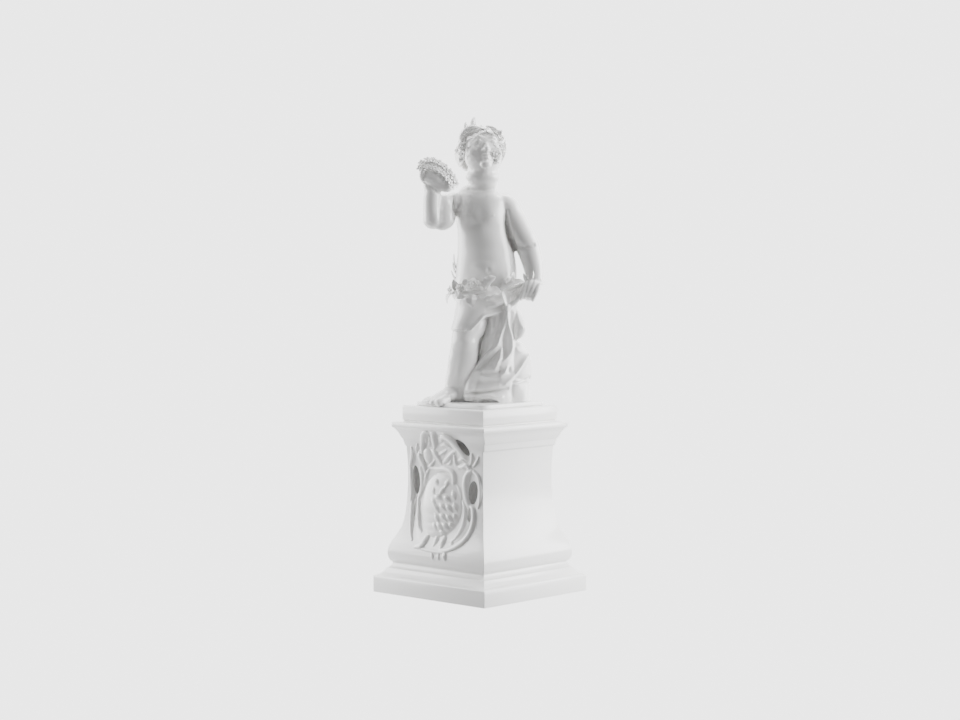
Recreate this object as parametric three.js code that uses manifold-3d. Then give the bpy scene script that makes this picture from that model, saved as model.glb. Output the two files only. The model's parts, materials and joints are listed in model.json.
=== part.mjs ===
// A white porcelain child with a garland, standing on a square pedestal with a relief cartouche.
// Millimetres, +Z up, the pedestal's front face towards -Y, the origin under the middle of the plinth.
import * as THREE from 'three';
import { LoftGeometry } from 'three/addons/geometries/LoftGeometry.js';
import { mergeVertices } from 'three/addons/utils/BufferGeometryUtils.js';
import Module from 'manifold-3d';

const wasm = await Module();
wasm.setup();

// Pedestal: half widths of the square sections, and the heights of the bands from the table up.
const plinthHalf = 48;
const plinthHeight = 10.8;
const cymaHalf = 42.2;
const cymaHeight = 4.8;
const neckHalf = 39.2;
const neckHeight = 4.4;
const bulgeHalf = 40;
const bulgeHeight = 5;
const sweepHalf = 34.6;
const sweepHeight = 16.5;
const waistHalf = 32.4;
const waistHeight = 32.5;
const throatHalf = 33.6;
const throatHeight = 20.5;
const corniceHalf = 39.7;
const corniceHeight = 9.8;
const lipHeight = 4;
const capRecess = 0.9;
const capHalf = 34.8;
const capHeight = 9.4;
const filletHeight = 0.7;
const filletStep = 0.8;
const edgeSoftness = 0.7;
const cymaSteps = 5;
const bodySteps = 16;

// Cartouche on the front face.
const cartoucheHalfWidth = 30;
const cartoucheBottom = 24;
const cartoucheHeight = 79;
const reliefDepth = 3.2;
const strokeSink = 0.6;
// Stroke widths below are in thirtieths of the cartouche's half width.
const strokeUnit = cartoucheHalfWidth / 30;

// Figure: the ground slab that it is cast with, and the child above it.
const seatGap = 0.3;
const slabSide = 61;
const slabThickness = 2.2;
const slabCorner = 6;
const figureHeight = 179;
// In degrees, from the pedestal's front face towards the viewer's right.
const figureTurn = 42.8;

// Figure sizes below are shares of its height, so many of them from the slab to the tallest leaf.
const sharesHigh = 179;
const share = figureHeight / sharesHigh;
const sink = 1.2;
const speckVolume = 0.01;
const weldDistance = 1e-4;
const thinnest = 0.2;
const towardsViewer = new THREE.Vector3(0, -1, 0);
const upwards = new THREE.Vector3(0, 0, 1);
const chestFacing = new THREE.Vector3(-0.17, -0.98, 0);

const glaze = { color: 0xf4f4f1, roughness: 0.16, metalness: 0 };

function solid(geometry) {
  const bare = new THREE.BufferGeometry();
  bare.setAttribute('position', geometry.attributes.position);
  bare.setIndex(geometry.index);
  const merged = mergeVertices(bare, weldDistance);
  return new wasm.Manifold(new wasm.Mesh({
    numProp: 3,
    vertProperties: new Float32Array(merged.attributes.position.array),
    triVerts: new Uint32Array(merged.index.array),
  }));
}

function join(solids) {
  return solids.reduce((whole, next) => whole.add(next));
}

// Joining can leave specks with no volume where two skins graze. A real piece is never that small.
function withoutSpecks(whole) {
  return join(whole.decompose().filter((bit) => bit.volume() > speckVolume));
}

function meshFrom(manifold, name) {
  const data = manifold.getMesh();
  const geometry = new THREE.BufferGeometry();
  geometry.setAttribute('position', new THREE.BufferAttribute(data.vertProperties, 3));
  geometry.setIndex(new THREE.BufferAttribute(data.triVerts, 1));
  geometry.computeVertexNormals();
  const mesh = new THREE.Mesh(geometry, new THREE.MeshStandardMaterial(glaze));
  mesh.name = name;
  return mesh;
}

// A closed skin over rings of points. place(along, angle) gives the point, with along from 0 to 1.
function skin(rings, sides, place) {
  const sections = [];
  for (let ring = 0; ring <= rings; ring += 1) {
    const section = [];
    for (let side = 0; side < sides; side += 1) {
      section.push(place(ring / rings, (side / sides) * Math.PI * 2));
    }
    sections.push(section);
  }
  return solid(new LoftGeometry(sections, { capStart: true, capEnd: true }));
}

// A round form through stations [x, y, z, side, front, back], front being the side that faces `facing`.
function sweep(stations, { facing = towardsViewer, sides = 10, ripple = () => 0 } = {}) {
  const path = new THREE.CatmullRomCurve3(stations.map(([x, y, z]) => new THREE.Vector3(x, y, z)));
  const radii = new THREE.CatmullRomCurve3(
    stations.map(([, , , side, front = side, back = front]) => new THREE.Vector3(side, front, back)));
  return skin(stations.length - 1, sides, (along, angle) => {
    const tangent = path.getTangent(along).normalize();
    const size = radii.getPoint(along);
    const front = facing.clone().addScaledVector(tangent, -facing.dot(tangent)).normalize();
    const side = tangent.clone().cross(front);
    const reach = Math.cos(angle) > 0 ? size.y : size.z;
    const swell = 1 + ripple(along, angle);
    return path.getPoint(along)
      .addScaledVector(front, Math.max(reach, thinnest) * Math.cos(angle) * swell)
      .addScaledVector(side, Math.max(size.x, thinnest) * Math.sin(angle) * swell);
  });
}

// The same with every number a share of the figure's height.
function limb(stations, options) {
  return sweep(stations.map((station) => station.map((number) => number * share)), options);
}

function blob([x, y, z], [across, deep, high], { sides = 8, rings = 5 } = {}) {
  const geometry = new THREE.SphereGeometry(1, sides, rings);
  geometry.rotateX(Math.PI / 2);
  geometry.scale(across * share, deep * share, high * share);
  geometry.translate(x * share, y * share, z * share);
  return solid(geometry);
}

// A leaf from its stalk to its tip, bowed by `bow` along its facing side.
function leaf(from, to, width, { facing = towardsViewer, bow = 1, thickness = 0.9 } = {}) {
  const start = new THREE.Vector3(...from);
  const end = new THREE.Vector3(...to);
  const widths = [0.4, 1, 0.9, 0.14];
  const stations = widths.map((wide, index) => {
    const along = index / (widths.length - 1);
    const rise = bow * Math.sin(Math.PI * along);
    const middle = start.clone().lerp(end, along).addScaledVector(facing, rise);
    return [...middle.toArray(), wide * width / 2, thickness / 2 + 0.15, thickness / 2];
  });
  return limb(stations, { facing, sides: 4 });
}

// An open flower: a cup whose rim is scalloped into petals, hollowed round a small heart.
function flower([x, y, z], radius, { facing = towardsViewer, petals = 5 } = {}) {
  const geometry = new THREE.SphereGeometry(1, petals * 2, 4);
  const position = geometry.attributes.position;
  const point = new THREE.Vector3();
  for (let index = 0; index < position.count; index += 1) {
    point.fromBufferAttribute(position, index);
    const out = Math.hypot(point.x, point.z);
    const scallop = 1 + 0.2 * Math.cos(Math.atan2(point.z, point.x) * petals) * out;
    const cup = point.y > 0 ? 0.5 + 0.2 * Math.cos(out * Math.PI * 2) : 0.6;
    point.set(point.x * scallop, point.y * cup, point.z * scallop).multiplyScalar(radius);
    position.setXYZ(index, ...point);
  }
  geometry.applyQuaternion(new THREE.Quaternion().setFromUnitVectors(new THREE.Vector3(0, 1, 0),
    facing.clone().normalize()));
  geometry.translate(x, y, z);
  geometry.scale(share, share, share);
  return solid(geometry);
}

// The pedestal's outline on one side, from the table to the top of the cap: [half width, height] pairs.
function pedestalBands() {
  const cymaTop = plinthHeight + cymaHeight;
  const neckTop = cymaTop + neckHeight;
  const bulgeTop = neckTop + bulgeHeight;
  const sweepTop = bulgeTop + sweepHeight;
  const waistTop = sweepTop + waistHeight;
  const throatTop = waistTop + throatHeight;
  const corniceTop = throatTop + corniceHeight;
  const lipTop = corniceTop + lipHeight;
  const capBottom = lipTop + capRecess;
  const top = capBottom + capHeight;
  return { cymaTop, neckTop, bulgeTop, sweepTop, waistTop, throatTop, corniceTop, lipTop, capBottom, top };
}

const band = pedestalBands();
const bodyCurve = new THREE.SplineCurve([
  new THREE.Vector2(cymaHalf - filletStep, band.cymaTop),
  new THREE.Vector2(neckHalf, band.neckTop - neckHeight * 0.25),
  new THREE.Vector2(bulgeHalf, band.bulgeTop),
  new THREE.Vector2((bulgeHalf + sweepHalf) / 2 - 0.4, band.bulgeTop + sweepHeight * 0.6),
  new THREE.Vector2(sweepHalf, band.sweepTop),
  new THREE.Vector2(waistHalf, band.waistTop),
  new THREE.Vector2(throatHalf, band.throatTop),
  new THREE.Vector2((throatHalf * 2 + corniceHalf) / 3, band.throatTop + corniceHeight * 0.62),
  new THREE.Vector2(corniceHalf - filletStep, band.corniceTop),
]);
const bodyPoints = bodyCurve.getPoints(bodySteps);

// How far the body's face stands from the middle at a height.
function bodyHalfAt(height) {
  const above = bodyPoints.findIndex((point) => point.y >= height);
  const upper = bodyPoints[Math.max(above, 1)];
  const lower = bodyPoints[Math.max(above, 1) - 1];
  const along = THREE.MathUtils.clamp((height - lower.y) / (upper.y - lower.y), 0, 1);
  return THREE.MathUtils.lerp(lower.x, upper.x, along);
}

function pedestalOutline(withFillets) {
  const right = [];
  const add = (half, height) => right.push(new THREE.Vector2(half, height));
  add(plinthHalf, 0);
  add(plinthHalf, plinthHeight - edgeSoftness);
  add(plinthHalf - edgeSoftness, plinthHeight);
  for (let step = 1; step <= cymaSteps; step += 1) {
    const turn = (step / cymaSteps) * Math.PI / 2;
    add(THREE.MathUtils.lerp(plinthHalf - edgeSoftness, cymaHalf, Math.sin(turn)),
      THREE.MathUtils.lerp(plinthHeight, band.cymaTop, 1 - Math.cos(turn)));
  }
  const filletBottom = band.corniceTop - filletHeight * 2;
  right.push(...bodyPoints.filter((point) => !withFillets || point.y < filletBottom));
  if (withFillets) {
    const edge = bodyHalfAt(filletBottom);
    add(edge, filletBottom);
    add(edge + filletStep, filletBottom);
    add(edge + filletStep, band.corniceTop);
  }
  add(corniceHalf, band.corniceTop + edgeSoftness);
  add(corniceHalf, band.lipTop - edgeSoftness);
  add(corniceHalf - edgeSoftness, band.lipTop);
  add(capHalf - edgeSoftness, band.lipTop);
  add(capHalf - edgeSoftness, band.capBottom);
  add(capHalf, band.capBottom + edgeSoftness);
  add(capHalf, band.top - edgeSoftness);
  add(capHalf - edgeSoftness, band.top);
  const left = right.map((point) => new THREE.Vector2(-point.x, point.y)).reverse();
  return new THREE.Shape([...right, ...left]);
}

// The outline pushed through along one direction. Crossing two of them gives four mitred sides.
function pedestalSlice(withFillets, acrossFront) {
  const reach = plinthHalf + corniceHalf;
  const geometry = new THREE.ExtrudeGeometry(pedestalOutline(withFillets),
    { depth: reach * 2, steps: 1, bevelEnabled: false });
  geometry.translate(0, 0, -reach);
  geometry.rotateX(Math.PI / 2);
  if (!acrossFront) geometry.rotateZ(Math.PI / 2);
  return solid(geometry);
}

// A raised stroke on the front face. Points are [across -1 to 1, up 0 to 1, width, height] of the cartouche.
function stroke(points) {
  const stations = points.map(([across, up, width, rise = 1]) => {
    const height = cartoucheBottom + up * cartoucheHeight;
    const face = -bodyHalfAt(height) + strokeSink;
    const side = width * strokeUnit;
    return [across * cartoucheHalfWidth, face, height, side, reliefDepth * rise + strokeSink, strokeSink * 2];
  });
  return sweep(stations, { sides: 4 });
}

// Rocaille: C scrolls and leafy strokes round a plain oval boss with a spray of leaves.
function cartouche() {
  const both = (points) => [stroke(points), stroke(points.map(([across, ...rest]) => [-across, ...rest]))];
  const outerScroll = [[0.62, 0.86, 0.6, 0.4], [0.86, 0.8, 1.8, 0.8], [0.98, 0.68, 2.4], [0.86, 0.54, 2.4],
    [0.7, 0.47, 2], [0.86, 0.38, 2.2, 0.9], [0.95, 0.3, 1, 0.5]];
  const lowerBand = [[0.95, 0.36, 0.8, 0.5], [0.86, 0.25, 2], [0.7, 0.13, 2.2], [0.42, 0.04, 2],
    [0.12, 0.02, 0.8, 0.5]];
  const innerFrame = [[0.3, 0.8, 0.6, 0.5], [0.52, 0.66, 1.4, 0.8], [0.6, 0.42, 1.6, 0.8],
    [0.46, 0.2, 1.5, 0.8], [0.08, 0.09, 0.6, 0.5]];
  const parts = [...both(outerScroll), ...both(lowerBand), ...both(innerFrame)];
  parts.push(stroke([[-0.75, 0.97, 0.8, 0.5], [-0.6, 0.9, 2.2], [-0.66, 0.78, 2.6], [-0.72, 0.7, 1, 0.6]]));
  parts.push(stroke([[-0.2, 0.93, 0.8, 0.6], [0.02, 0.96, 2.4], [0.3, 0.92, 2.8, 1.1], [0.55, 0.83, 2.4],
    [0.7, 0.75, 0.9, 0.5]]));
  parts.push(stroke([[-0.5, 0.92, 0.8, 0.5], [-0.28, 0.86, 1.8], [-0.08, 0.78, 1.6],
    [0.02, 0.73, 0.6, 0.5]]));
  parts.push(stroke([[0.32, 0.84, 0.7, 0.5], [0.18, 0.8, 1.7], [0.06, 0.74, 0.6, 0.5]]));
  for (let frond = 0; frond < 4; frond += 1) {
    const across = -0.34 + frond * 0.22;
    parts.push(stroke([[across, 0, 0.6, 0.4], [across * 0.9, 0.04, 1.5, 0.8],
      [across * 0.7, 0.1, 0.6, 0.4]]));
  }
  parts.push(stroke([[-0.86, 0.96, 0.7, 0.4], [-0.92, 0.88, 1.7, 0.7], [-0.8, 0.8, 0.7, 0.4]]));
  parts.push(stroke([[0.95, 0.86, 0.7, 0.4], [0.78, 0.9, 1.7, 0.8], [0.66, 0.97, 0.7, 0.4]]));
  const bossHeight = cartoucheBottom + cartoucheHeight * 0.44;
  const boss = new THREE.SphereGeometry(1, 12, 7);
  const bossDepth = reliefDepth + bodyHalfAt(bossHeight) - waistHalf;
  boss.scale(cartoucheHalfWidth * 0.4, bossDepth, cartoucheHeight * 0.3);
  boss.rotateX(0.07);
  boss.translate(0, -bodyHalfAt(bossHeight) + strokeSink, bossHeight);
  parts.push(solid(boss));
  for (let pair = 0; pair < 3; pair += 1) {
    const up = 0.34 + pair * 0.1;
    parts.push(...both([[0.02, up, 0.5, 1.3], [0.13, up + 0.05, 1.3, 1.45],
      [0.22, up + 0.1, 0.4, 1.2]]));
  }
  return parts;
}

function makePedestal() {
  const body = pedestalSlice(false, true).intersect(pedestalSlice(true, false));
  return withoutSpecks(join([body, ...cartouche()]));
}

// The head's middle. The neck's top and everything worn on the head are placed from it.
const headCentre = [2.4, 1.2, 158.4];

function besideHead([across, back, up]) {
  return [headCentre[0] + across, headCentre[1] + back, headCentre[2] + up];
}

// Torso, neck and the arm and leg forms, in shares of the figure's height, seen as in the photograph.
function makeTorso() {
  const neckTop = [...besideHead([-0.6, 1, -6.4]), 7.8, 6, 6];
  return limb([
    [3, 1, 58, 14, 10, 10], [3, 1, 69, 18.5, 12.5, 14], [4, 0, 79, 18.8, 14.5, 13],
    [3.6, 0, 89, 18, 15.5, 10.5],
    [2.5, 0, 99, 16.4, 14, 10], [1.6, 0.5, 108, 15.7, 12.5, 10.5], [0.8, 1, 117, 16.3, 12.5, 12],
    [0.3, 1.5, 125, 16.5, 11, 12], [0.4, 2, 130.5, 13.5, 8, 10], [0.9, 2, 134.5, 8.6, 6.8, 7.8],
    [1.2, 1.5, 141, 8, 7.2, 7.6], neckTop], { facing: chestFacing, sides: 16 });
}

function makeArms() {
  const upperRaised = limb([[-5, 2, 122, 3], [-11, 1.8, 123.6, 6.8], [-16, 0.8, 123.6, 7.2],
    [-20.4, -3, 120, 7], [-24.5, -7, 114.4, 6.6], [-28, -9, 111.5, 3]]);
  const foreRaised = limb([[-27.5, -8.5, 109, 3], [-28.6, -9.5, 114, 7], [-30, -10.5, 120, 6],
    [-30, -11, 127, 5.3], [-28, -11.4, 137, 4.4]]);
  const lowered = limb([[5, 2, 121, 3], [11, 2, 123.4, 6.8], [16.6, 1.6, 122.8, 7.3], [20.8, 2, 115, 7.6],
    [25.3, 2.5, 105.5, 8], [29.2, 2, 98.5, 7.9], [31.8, 0.5, 90, 7.1], [33.8, -2, 81, 6.2],
    [34.4, -4.4, 75, 5], [34.2, -6, 70, 4.4]]);
  return join([upperRaised, foreRaised, lowered]);
}

function makeHands() {
  const palm = limb([[-35, -11.5, 139.6, 2, 1.4], [-31.5, -11.5, 138.9, 5.6, 3, 3.8],
    [-25, -11.5, 136, 6.6, 3, 4],
    [-19.5, -11.5, 133.2, 5.8, 2.8, 3.4], [-16.6, -11.5, 132.4, 3, 1.6, 1.6]], { facing: upwards, sides: 8 });
  const parts = [palm];
  for (let finger = 0; finger < 4; finger += 1) {
    const depth = -16.2 + finger * 3;
    parts.push(limb([[-18, depth, 132.4, 1.7], [-14.6, depth, 135.6, 1.8], [-16, depth, 140.4, 0.8]],
      { sides: 5 }));
  }
  parts.push(limb([[-32, -9, 138, 2], [-35.4, -13, 141, 2], [-35.6, -14, 145, 0.8]], { sides: 5 }));
  parts.push(blob([33.4, -7.4, 69.4], [5.2, 4.6, 5.2]));
  for (let finger = 0; finger < 4; finger += 1) {
    const across = 29.8 + finger * 2.7;
    const drop = finger * 0.7;
    parts.push(limb([[across + 0.8, -8, 73 + drop * 0.5, 1.5], [across, -12.4, 69 + drop, 1.8],
      [across + 0.4, -9, 64.4 + drop, 1]], { sides: 5 }));
  }
  return join(parts);
}

function makeLeg() {
  const leg = limb([[-5, -1, 62, 9, 9], [-8.2, -4.6, 48, 8.4], [-9.8, -6, 41.5, 7.6, 8, 7.6],
    [-10.2, -5.2, 37.5, 7.3, 7.2, 7.6], [-9.7, -3.4, 32, 8.7, 7.4, 9], [-10.9, -2, 26, 8.9, 7, 8.6],
    [-12.9, -0.6, 18, 8, 6.6, 7.2], [-14.2, 0, 12, 7.6, 6, 6.4], [-14.6, 0.8, 6, 6.4, 6, 6.4],
    [-14, 1.2, 1, 5.4], [-14, 1.2, -sink, 5]]);
  const foot = limb([[-9.4, 2.6, 3.6, 2.4], [-13, 1.2, 4, 5.6, 5, 5], [-20, -1.8, 4.6, 6.4, 4.8, 5.4],
    [-26.5, -4.8, 3.2, 6.8, 3.4, 4], [-31, -6.7, 2, 6.2, 2.3, 3], [-32.4, -7.3, 1.8, 4.6, 1.4, 2]],
  { facing: upwards, sides: 8 });
  const parts = [leg, foot];
  const toes = [[5.2, 2.4, 3.4], [2, 1.9, 3.2], [-0.8, 1.7, 2.8], [-3.4, 1.6, 2], [-5.6, 1.4, 1]];
  toes.forEach(([across, radius, reach]) => {
    const x = -30.6 + across * 0.39;
    const y = -6.4 - across * 0.92;
    parts.push(limb([[x + 2, y + 0.8, 2, radius], [x - reach * 0.5, y - reach * 0.2, 1.7, radius],
      [x - reach, y - reach * 0.4, 1.3, radius * 0.5]], { facing: upwards, sides: 5 }));
  });
  return join(parts);
}

// Head frame: face towards -Y, crown up, then tilted back and turned to the viewer's right.
const headTurn = new THREE.Euler(THREE.MathUtils.degToRad(-26), THREE.MathUtils.degToRad(-4),
  THREE.MathUtils.degToRad(17), 'ZYX');
const skull = [12.4, 13.4, 13.8];

function onHead([x, y, z]) {
  return new THREE.Vector3(x, y, z).applyEuler(headTurn).add(new THREE.Vector3(...headCentre)).toArray();
}

// Soft swellings and hollows of a calm child's face: [across, up, spread across, spread up, height].
const faceForms = [[0, -0.82, 0.3, 0.22, 0.1], [0.42, -0.34, 0.3, 0.3, 0.07], [-0.42, -0.34, 0.3, 0.3, 0.07],
  [0.36, 0.02, 0.2, 0.13, -0.09], [-0.36, 0.02, 0.2, 0.13, -0.09], [0, -0.5, 0.22, 0.09, 0.06],
  [0, 0.42, 0.6, 0.3, 0.04], [0, -0.2, 0.13, 0.2, 0.12]];

function makeHead() {
  const face = new THREE.SphereGeometry(1, 16, 11);
  face.rotateX(Math.PI / 2);
  const position = face.attributes.position;
  const point = new THREE.Vector3();
  for (let index = 0; index < position.count; index += 1) {
    point.fromBufferAttribute(position, index);
    let swell = 0.97;
    const frontness = THREE.MathUtils.smoothstep(-point.y, 0.02, 0.3);
    faceForms.forEach(([across, up, wide, high, rise]) => {
      const near = Math.exp(-(((point.x - across) / wide) ** 2) - ((point.z - up) / high) ** 2);
      swell += rise * frontness * near;
    });
    const narrow = point.z < 0 ? 1 + point.z * 0.12 : 1;
    point.set(point.x * skull[0] * swell * narrow, point.y * skull[1] * swell, point.z * skull[2] * swell);
    position.setXYZ(index, ...onHead(point.toArray()).map((number) => number * share));
  }
  const hair = new THREE.SphereGeometry(1, 18, 10);
  const hairPosition = hair.attributes.position;
  for (let index = 0; index < hairPosition.count; index += 1) {
    point.fromBufferAttribute(hairPosition, index);
    const faceWay = -point.y - Math.max(point.z, 0) * 0.55;
    const covered = THREE.MathUtils.smoothstep(-faceWay, -0.36, -0.16);
    const lock = 0.035 * Math.sin(Math.atan2(point.z, Math.abs(point.x)) * 9 + point.y * 5);
    const parting = 0.05 * Math.exp(-((point.x / 0.12) ** 2));
    const swell = THREE.MathUtils.lerp(0.86, 1.1 + lock, covered) - parting;
    point.set(point.x * (skull[0] + 0.6) * swell, point.y * skull[1] * swell, point.z * skull[2] * swell);
    hairPosition.setXYZ(index, ...onHead(point.toArray()).map((number) => number * share));
  }
  return join([solid(face), solid(hair), ...makeWreath()]);
}

// The wreath is a ring round the head, set with pairs of leaves and two clusters of flowers.
function makeWreath() {
  const ringAt = (angle, out = 0) => onHead([Math.sin(angle) * (12.4 + out),
    -Math.cos(angle) * (10.6 + out) + 0.6, 6.4 + Math.cos(angle) * 3.4 + out * 0.5]);
  const parts = [];
  const leaves = 9;
  for (let index = 0; index < leaves; index += 1) {
    const angle = (index / leaves) * Math.PI * 2;
    const side = angle < Math.PI ? 1 : -1;
    parts.push(limb([[...ringAt(angle, -2.4), 1.2, 1.2], [...ringAt(angle + side * 0.12), 2.2, 1],
      [...ringAt(angle + side * 0.36, 1.4), 2, 0.8], [...ringAt(angle + side * 0.55, 1), 0.4, 0.3]],
    { facing: upwards, sides: 4 }));
  }
  const tip = sharesHigh - headCentre[2];
  parts.push(leaf(besideHead([-5.6, -3.2, 8.1]), besideHead([-6.4, -3.2, tip]), 3.4, { bow: 0.4 }));
  parts.push(leaf(besideHead([-7.8, -4.2, 7.2]), besideHead([-10.4, -5.2, 16]), 2.6, { bow: 0.4 }));
  const nearFlower = { facing: new THREE.Vector3(0.4, -0.9, 0) };
  const farFlower = { facing: new THREE.Vector3(-0.6, -0.8, 0) };
  parts.push(flower(besideHead([8.2, -8.2, -3.4]), 3.8, nearFlower));
  parts.push(flower(besideHead([-12, -5.8, -0.4]), 3.2, farFlower));
  parts.push(leaf(besideHead([9.6, -3.2, 1.6]), besideHead([15.2, -3.2, 9]), 4));
  parts.push(leaf(besideHead([9.6, -5.2, -1.4]), besideHead([15.6, -5.2, -0.8]), 4));
  return parts;
}

// Cloth: a wrap round the hips and the near thigh, and a fall of folds down to the ground.
const wrapHeights = [43, 47, 52.5, 58, 65, 72];
const wrapMiddles = [[-8.6, -5.2], [-8, -4.8], [-5, -3.4], [-1.5, -1.4], [1.4, 0], [2.6, 0.5]];
const wrapReaches = [[8.8, 9.6, 9.6], [9.5, 10.6, 10.6], [11.8, 12.6, 12.4], [16, 14.4, 15],
  [19.2, 14.8, 15.6], [19.2, 14, 15]];
const wrapForm = new THREE.CatmullRomCurve3(
  wrapMiddles.map(([x, y], index) => new THREE.Vector3(x, y, wrapHeights[index])));
const wrapSize = new THREE.CatmullRomCurve3(wrapReaches.map((reach) => new THREE.Vector3(...reach)));

function alongWrap(height) {
  let index = 0;
  while (index < wrapHeights.length - 2 && wrapHeights[index + 1] < height) index += 1;
  const within = (height - wrapHeights[index]) / (wrapHeights[index + 1] - wrapHeights[index]);
  return THREE.MathUtils.clamp((index + within) / (wrapHeights.length - 1), 0, 1);
}

function makeWrap() {
  const wrapTop = 70;
  return skin(5, 18, (along, angle) => {
    // The angle starts at the front and turns towards the viewer's left.
    const leftness = Math.sin(angle);
    const hem = 49.5 - 4.6 * leftness - 1.6 * Math.cos(angle * 3);
    const height = THREE.MathUtils.lerp(wrapTop, hem, along);
    const place = alongWrap(height);
    const centre = wrapForm.getPoint(place);
    const size = wrapSize.getPoint(place);
    const fold = 1 + 0.035 * Math.sin(angle * 5 + height * 0.16) + 0.02 * along;
    const reach = Math.cos(angle) > 0 ? size.y : size.z;
    const out = new THREE.Vector3(-leftness * size.x, -Math.cos(angle) * reach, 0).multiplyScalar(fold);
    return new THREE.Vector3(centre.x, centre.y, height).add(out).multiplyScalar(share);
  });
}

const fallStations = [[15.6, 0, 68, 9, 11.5, 12], [15.4, 0, 58, 9.3, 12, 12.5], [13.6, 0, 48, 10.4, 12.5, 13],
  [11.2, 0, 39, 12.4, 13, 14], [10.5, 0, 30, 15, 14, 15], [9, 0, 20, 17, 15, 16],
  [8.4, 0, 10, 17.8, 15.6, 16], [8.2, 0, 3.6, 17.6, 15.4, 16]];

// The depth of the fall's front skin at a place across and a height, all in shares.
function fallFront(across, height) {
  const lower = fallStations.findIndex((station) => station[2] <= height);
  const below = fallStations[Math.max(lower, 1)];
  const above = fallStations[Math.max(lower, 1) - 1];
  const along = (height - below[2]) / (above[2] - below[2]);
  const [x, y, , side, front] = below.map(
    (number, index) => THREE.MathUtils.lerp(number, above[index], along));
  const widest = 0.97;
  const out = Math.min(Math.abs(across - x) / side, widest);
  return y - front * Math.sqrt(1 - out * out);
}

// A fold is a ridge that lies on the fall. Points are [across, height, radius].
function fold(points) {
  return limb(points.map(([across, height, radius]) => [across, fallFront(across, height), height, radius,
    radius * 0.9, radius]), { sides: 5 });
}

function makeFall() {
  const column = limb(fallStations, { sides: 18,
    ripple: (along, angle) => 0.035 * along * Math.sin(angle * 7 + along * 3) });
  const behind = limb([[3, 5, 70, 17, 6, 11], [2.6, 5, 56, 16.4, 6, 11], [2.4, 5, 40, 16, 6, 10.6],
    [2.6, 5, 20, 16.6, 6, 11.6], [3, 5, 1, 17.4, 6, 12.6], [3, 5, -sink, 17, 6, 12]], { sides: 11,
    ripple: (along, angle) => 0.06 * Math.sin(angle * 4 + along * 2) });
  const parts = [column, behind];
  parts.push(fold([[18.6, 61, 1.4], [17, 52, 2], [13.4, 40, 2.2], [7, 31, 2], [0.4, 24, 1]]));
  parts.push(fold([[18.4, 55, 1], [19, 46, 1.9], [19.8, 35, 2], [17.4, 27, 0.9]]));
  parts.push(fold([[8.6, 54, 0.8], [8, 48, 1.5], [6.6, 41, 0.8]]));
  parts.push(fold([[-6, 8, 1], [2, 10.4, 1.8], [10, 9.2, 1.8], [18, 13, 1]]));
  parts.push(fold([[-4, 17, 0.8], [5, 16.6, 1.6], [14, 20, 0.8]]));
  parts.push(fold([[-8, 4.4, 1], [-1, 5.4, 1.8], [6, 6.2, 1.8], [13, 3.6, 1.2]]));
  parts.push(limb([[23.8, -4, 64, 2.4, 2], [24.6, -4.6, 56, 3.2, 2.2], [26, -4.8, 48, 3.8, 2.2],
    [24.4, -4.8, 42, 3, 1.8], [22, -4.6, 37.6, 0.8, 0.8]], { sides: 8 }));
  parts.push(blob([17.6, -11, 59.6], [3, 3.4, 3]));
  return join(parts);
}

// The hem's rim runs from the knot over the near thigh, as a rolled edge.
function makeHemRoll() {
  const rim = [[17.6, -12.4, 59], [11, -13.6, 55.4], [4, -14.2, 53.2], [-2, -14.6, 48.4], [-7.8, -15.6, 44.2],
    [-12.6, -12.2, 44.8], [-16.6, -6.4, 46.2], [-17, -3, 46.6]];
  const tie = [[17.6, -12.4, 60], [21.4, -11.4, 64], [26, -9.4, 68.4], [30, -8, 71]];
  return join([limb(rim.map(([x, y, z], index) => [x, y, z, index % 7 ? 1.5 : 1, 1.3]), { sides: 5 }),
    limb(tie.map(([x, y, z]) => [x, y, z, 1.6, 1.5]), { sides: 5 })]);
}

function makeStump() {
  const rough = (along, angle) => 0.05 * Math.sin(angle * 3 + along * 9)
    + 0.03 * Math.sin(angle * 7 - along * 14);
  const rock = limb([[22.6, 3, -sink, 10, 12, 12], [22.8, 3, 5, 9.8, 12, 12], [23, 3, 11, 9.4, 12, 11.6],
    [23.6, 3, 15, 8.6, 10.4, 11], [23.8, 3, 21, 8.8, 10.8, 10.6], [24, 3, 28, 7.8, 9.6, 10],
    [24.4, 3, 34.4, 6.6, 7.4, 8], [24.6, 3, 37, 3.4, 4, 4]], { ripple: rough });
  const ledge = limb([[14, -9.4, 13.6, 1.6], [20, -9, 13.4, 2.2], [26, -6, 13.6, 2.2], [31, -1, 14, 1.4]],
    { sides: 5 });
  const drape = limb([[31.2, -1, 31, 1.2], [27, -5.4, 25, 2.4], [22, -9, 17.6, 2.4], [17, -12, 12, 1.2]],
    { sides: 5 });
  return join([rock, ledge, drape]);
}

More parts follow.
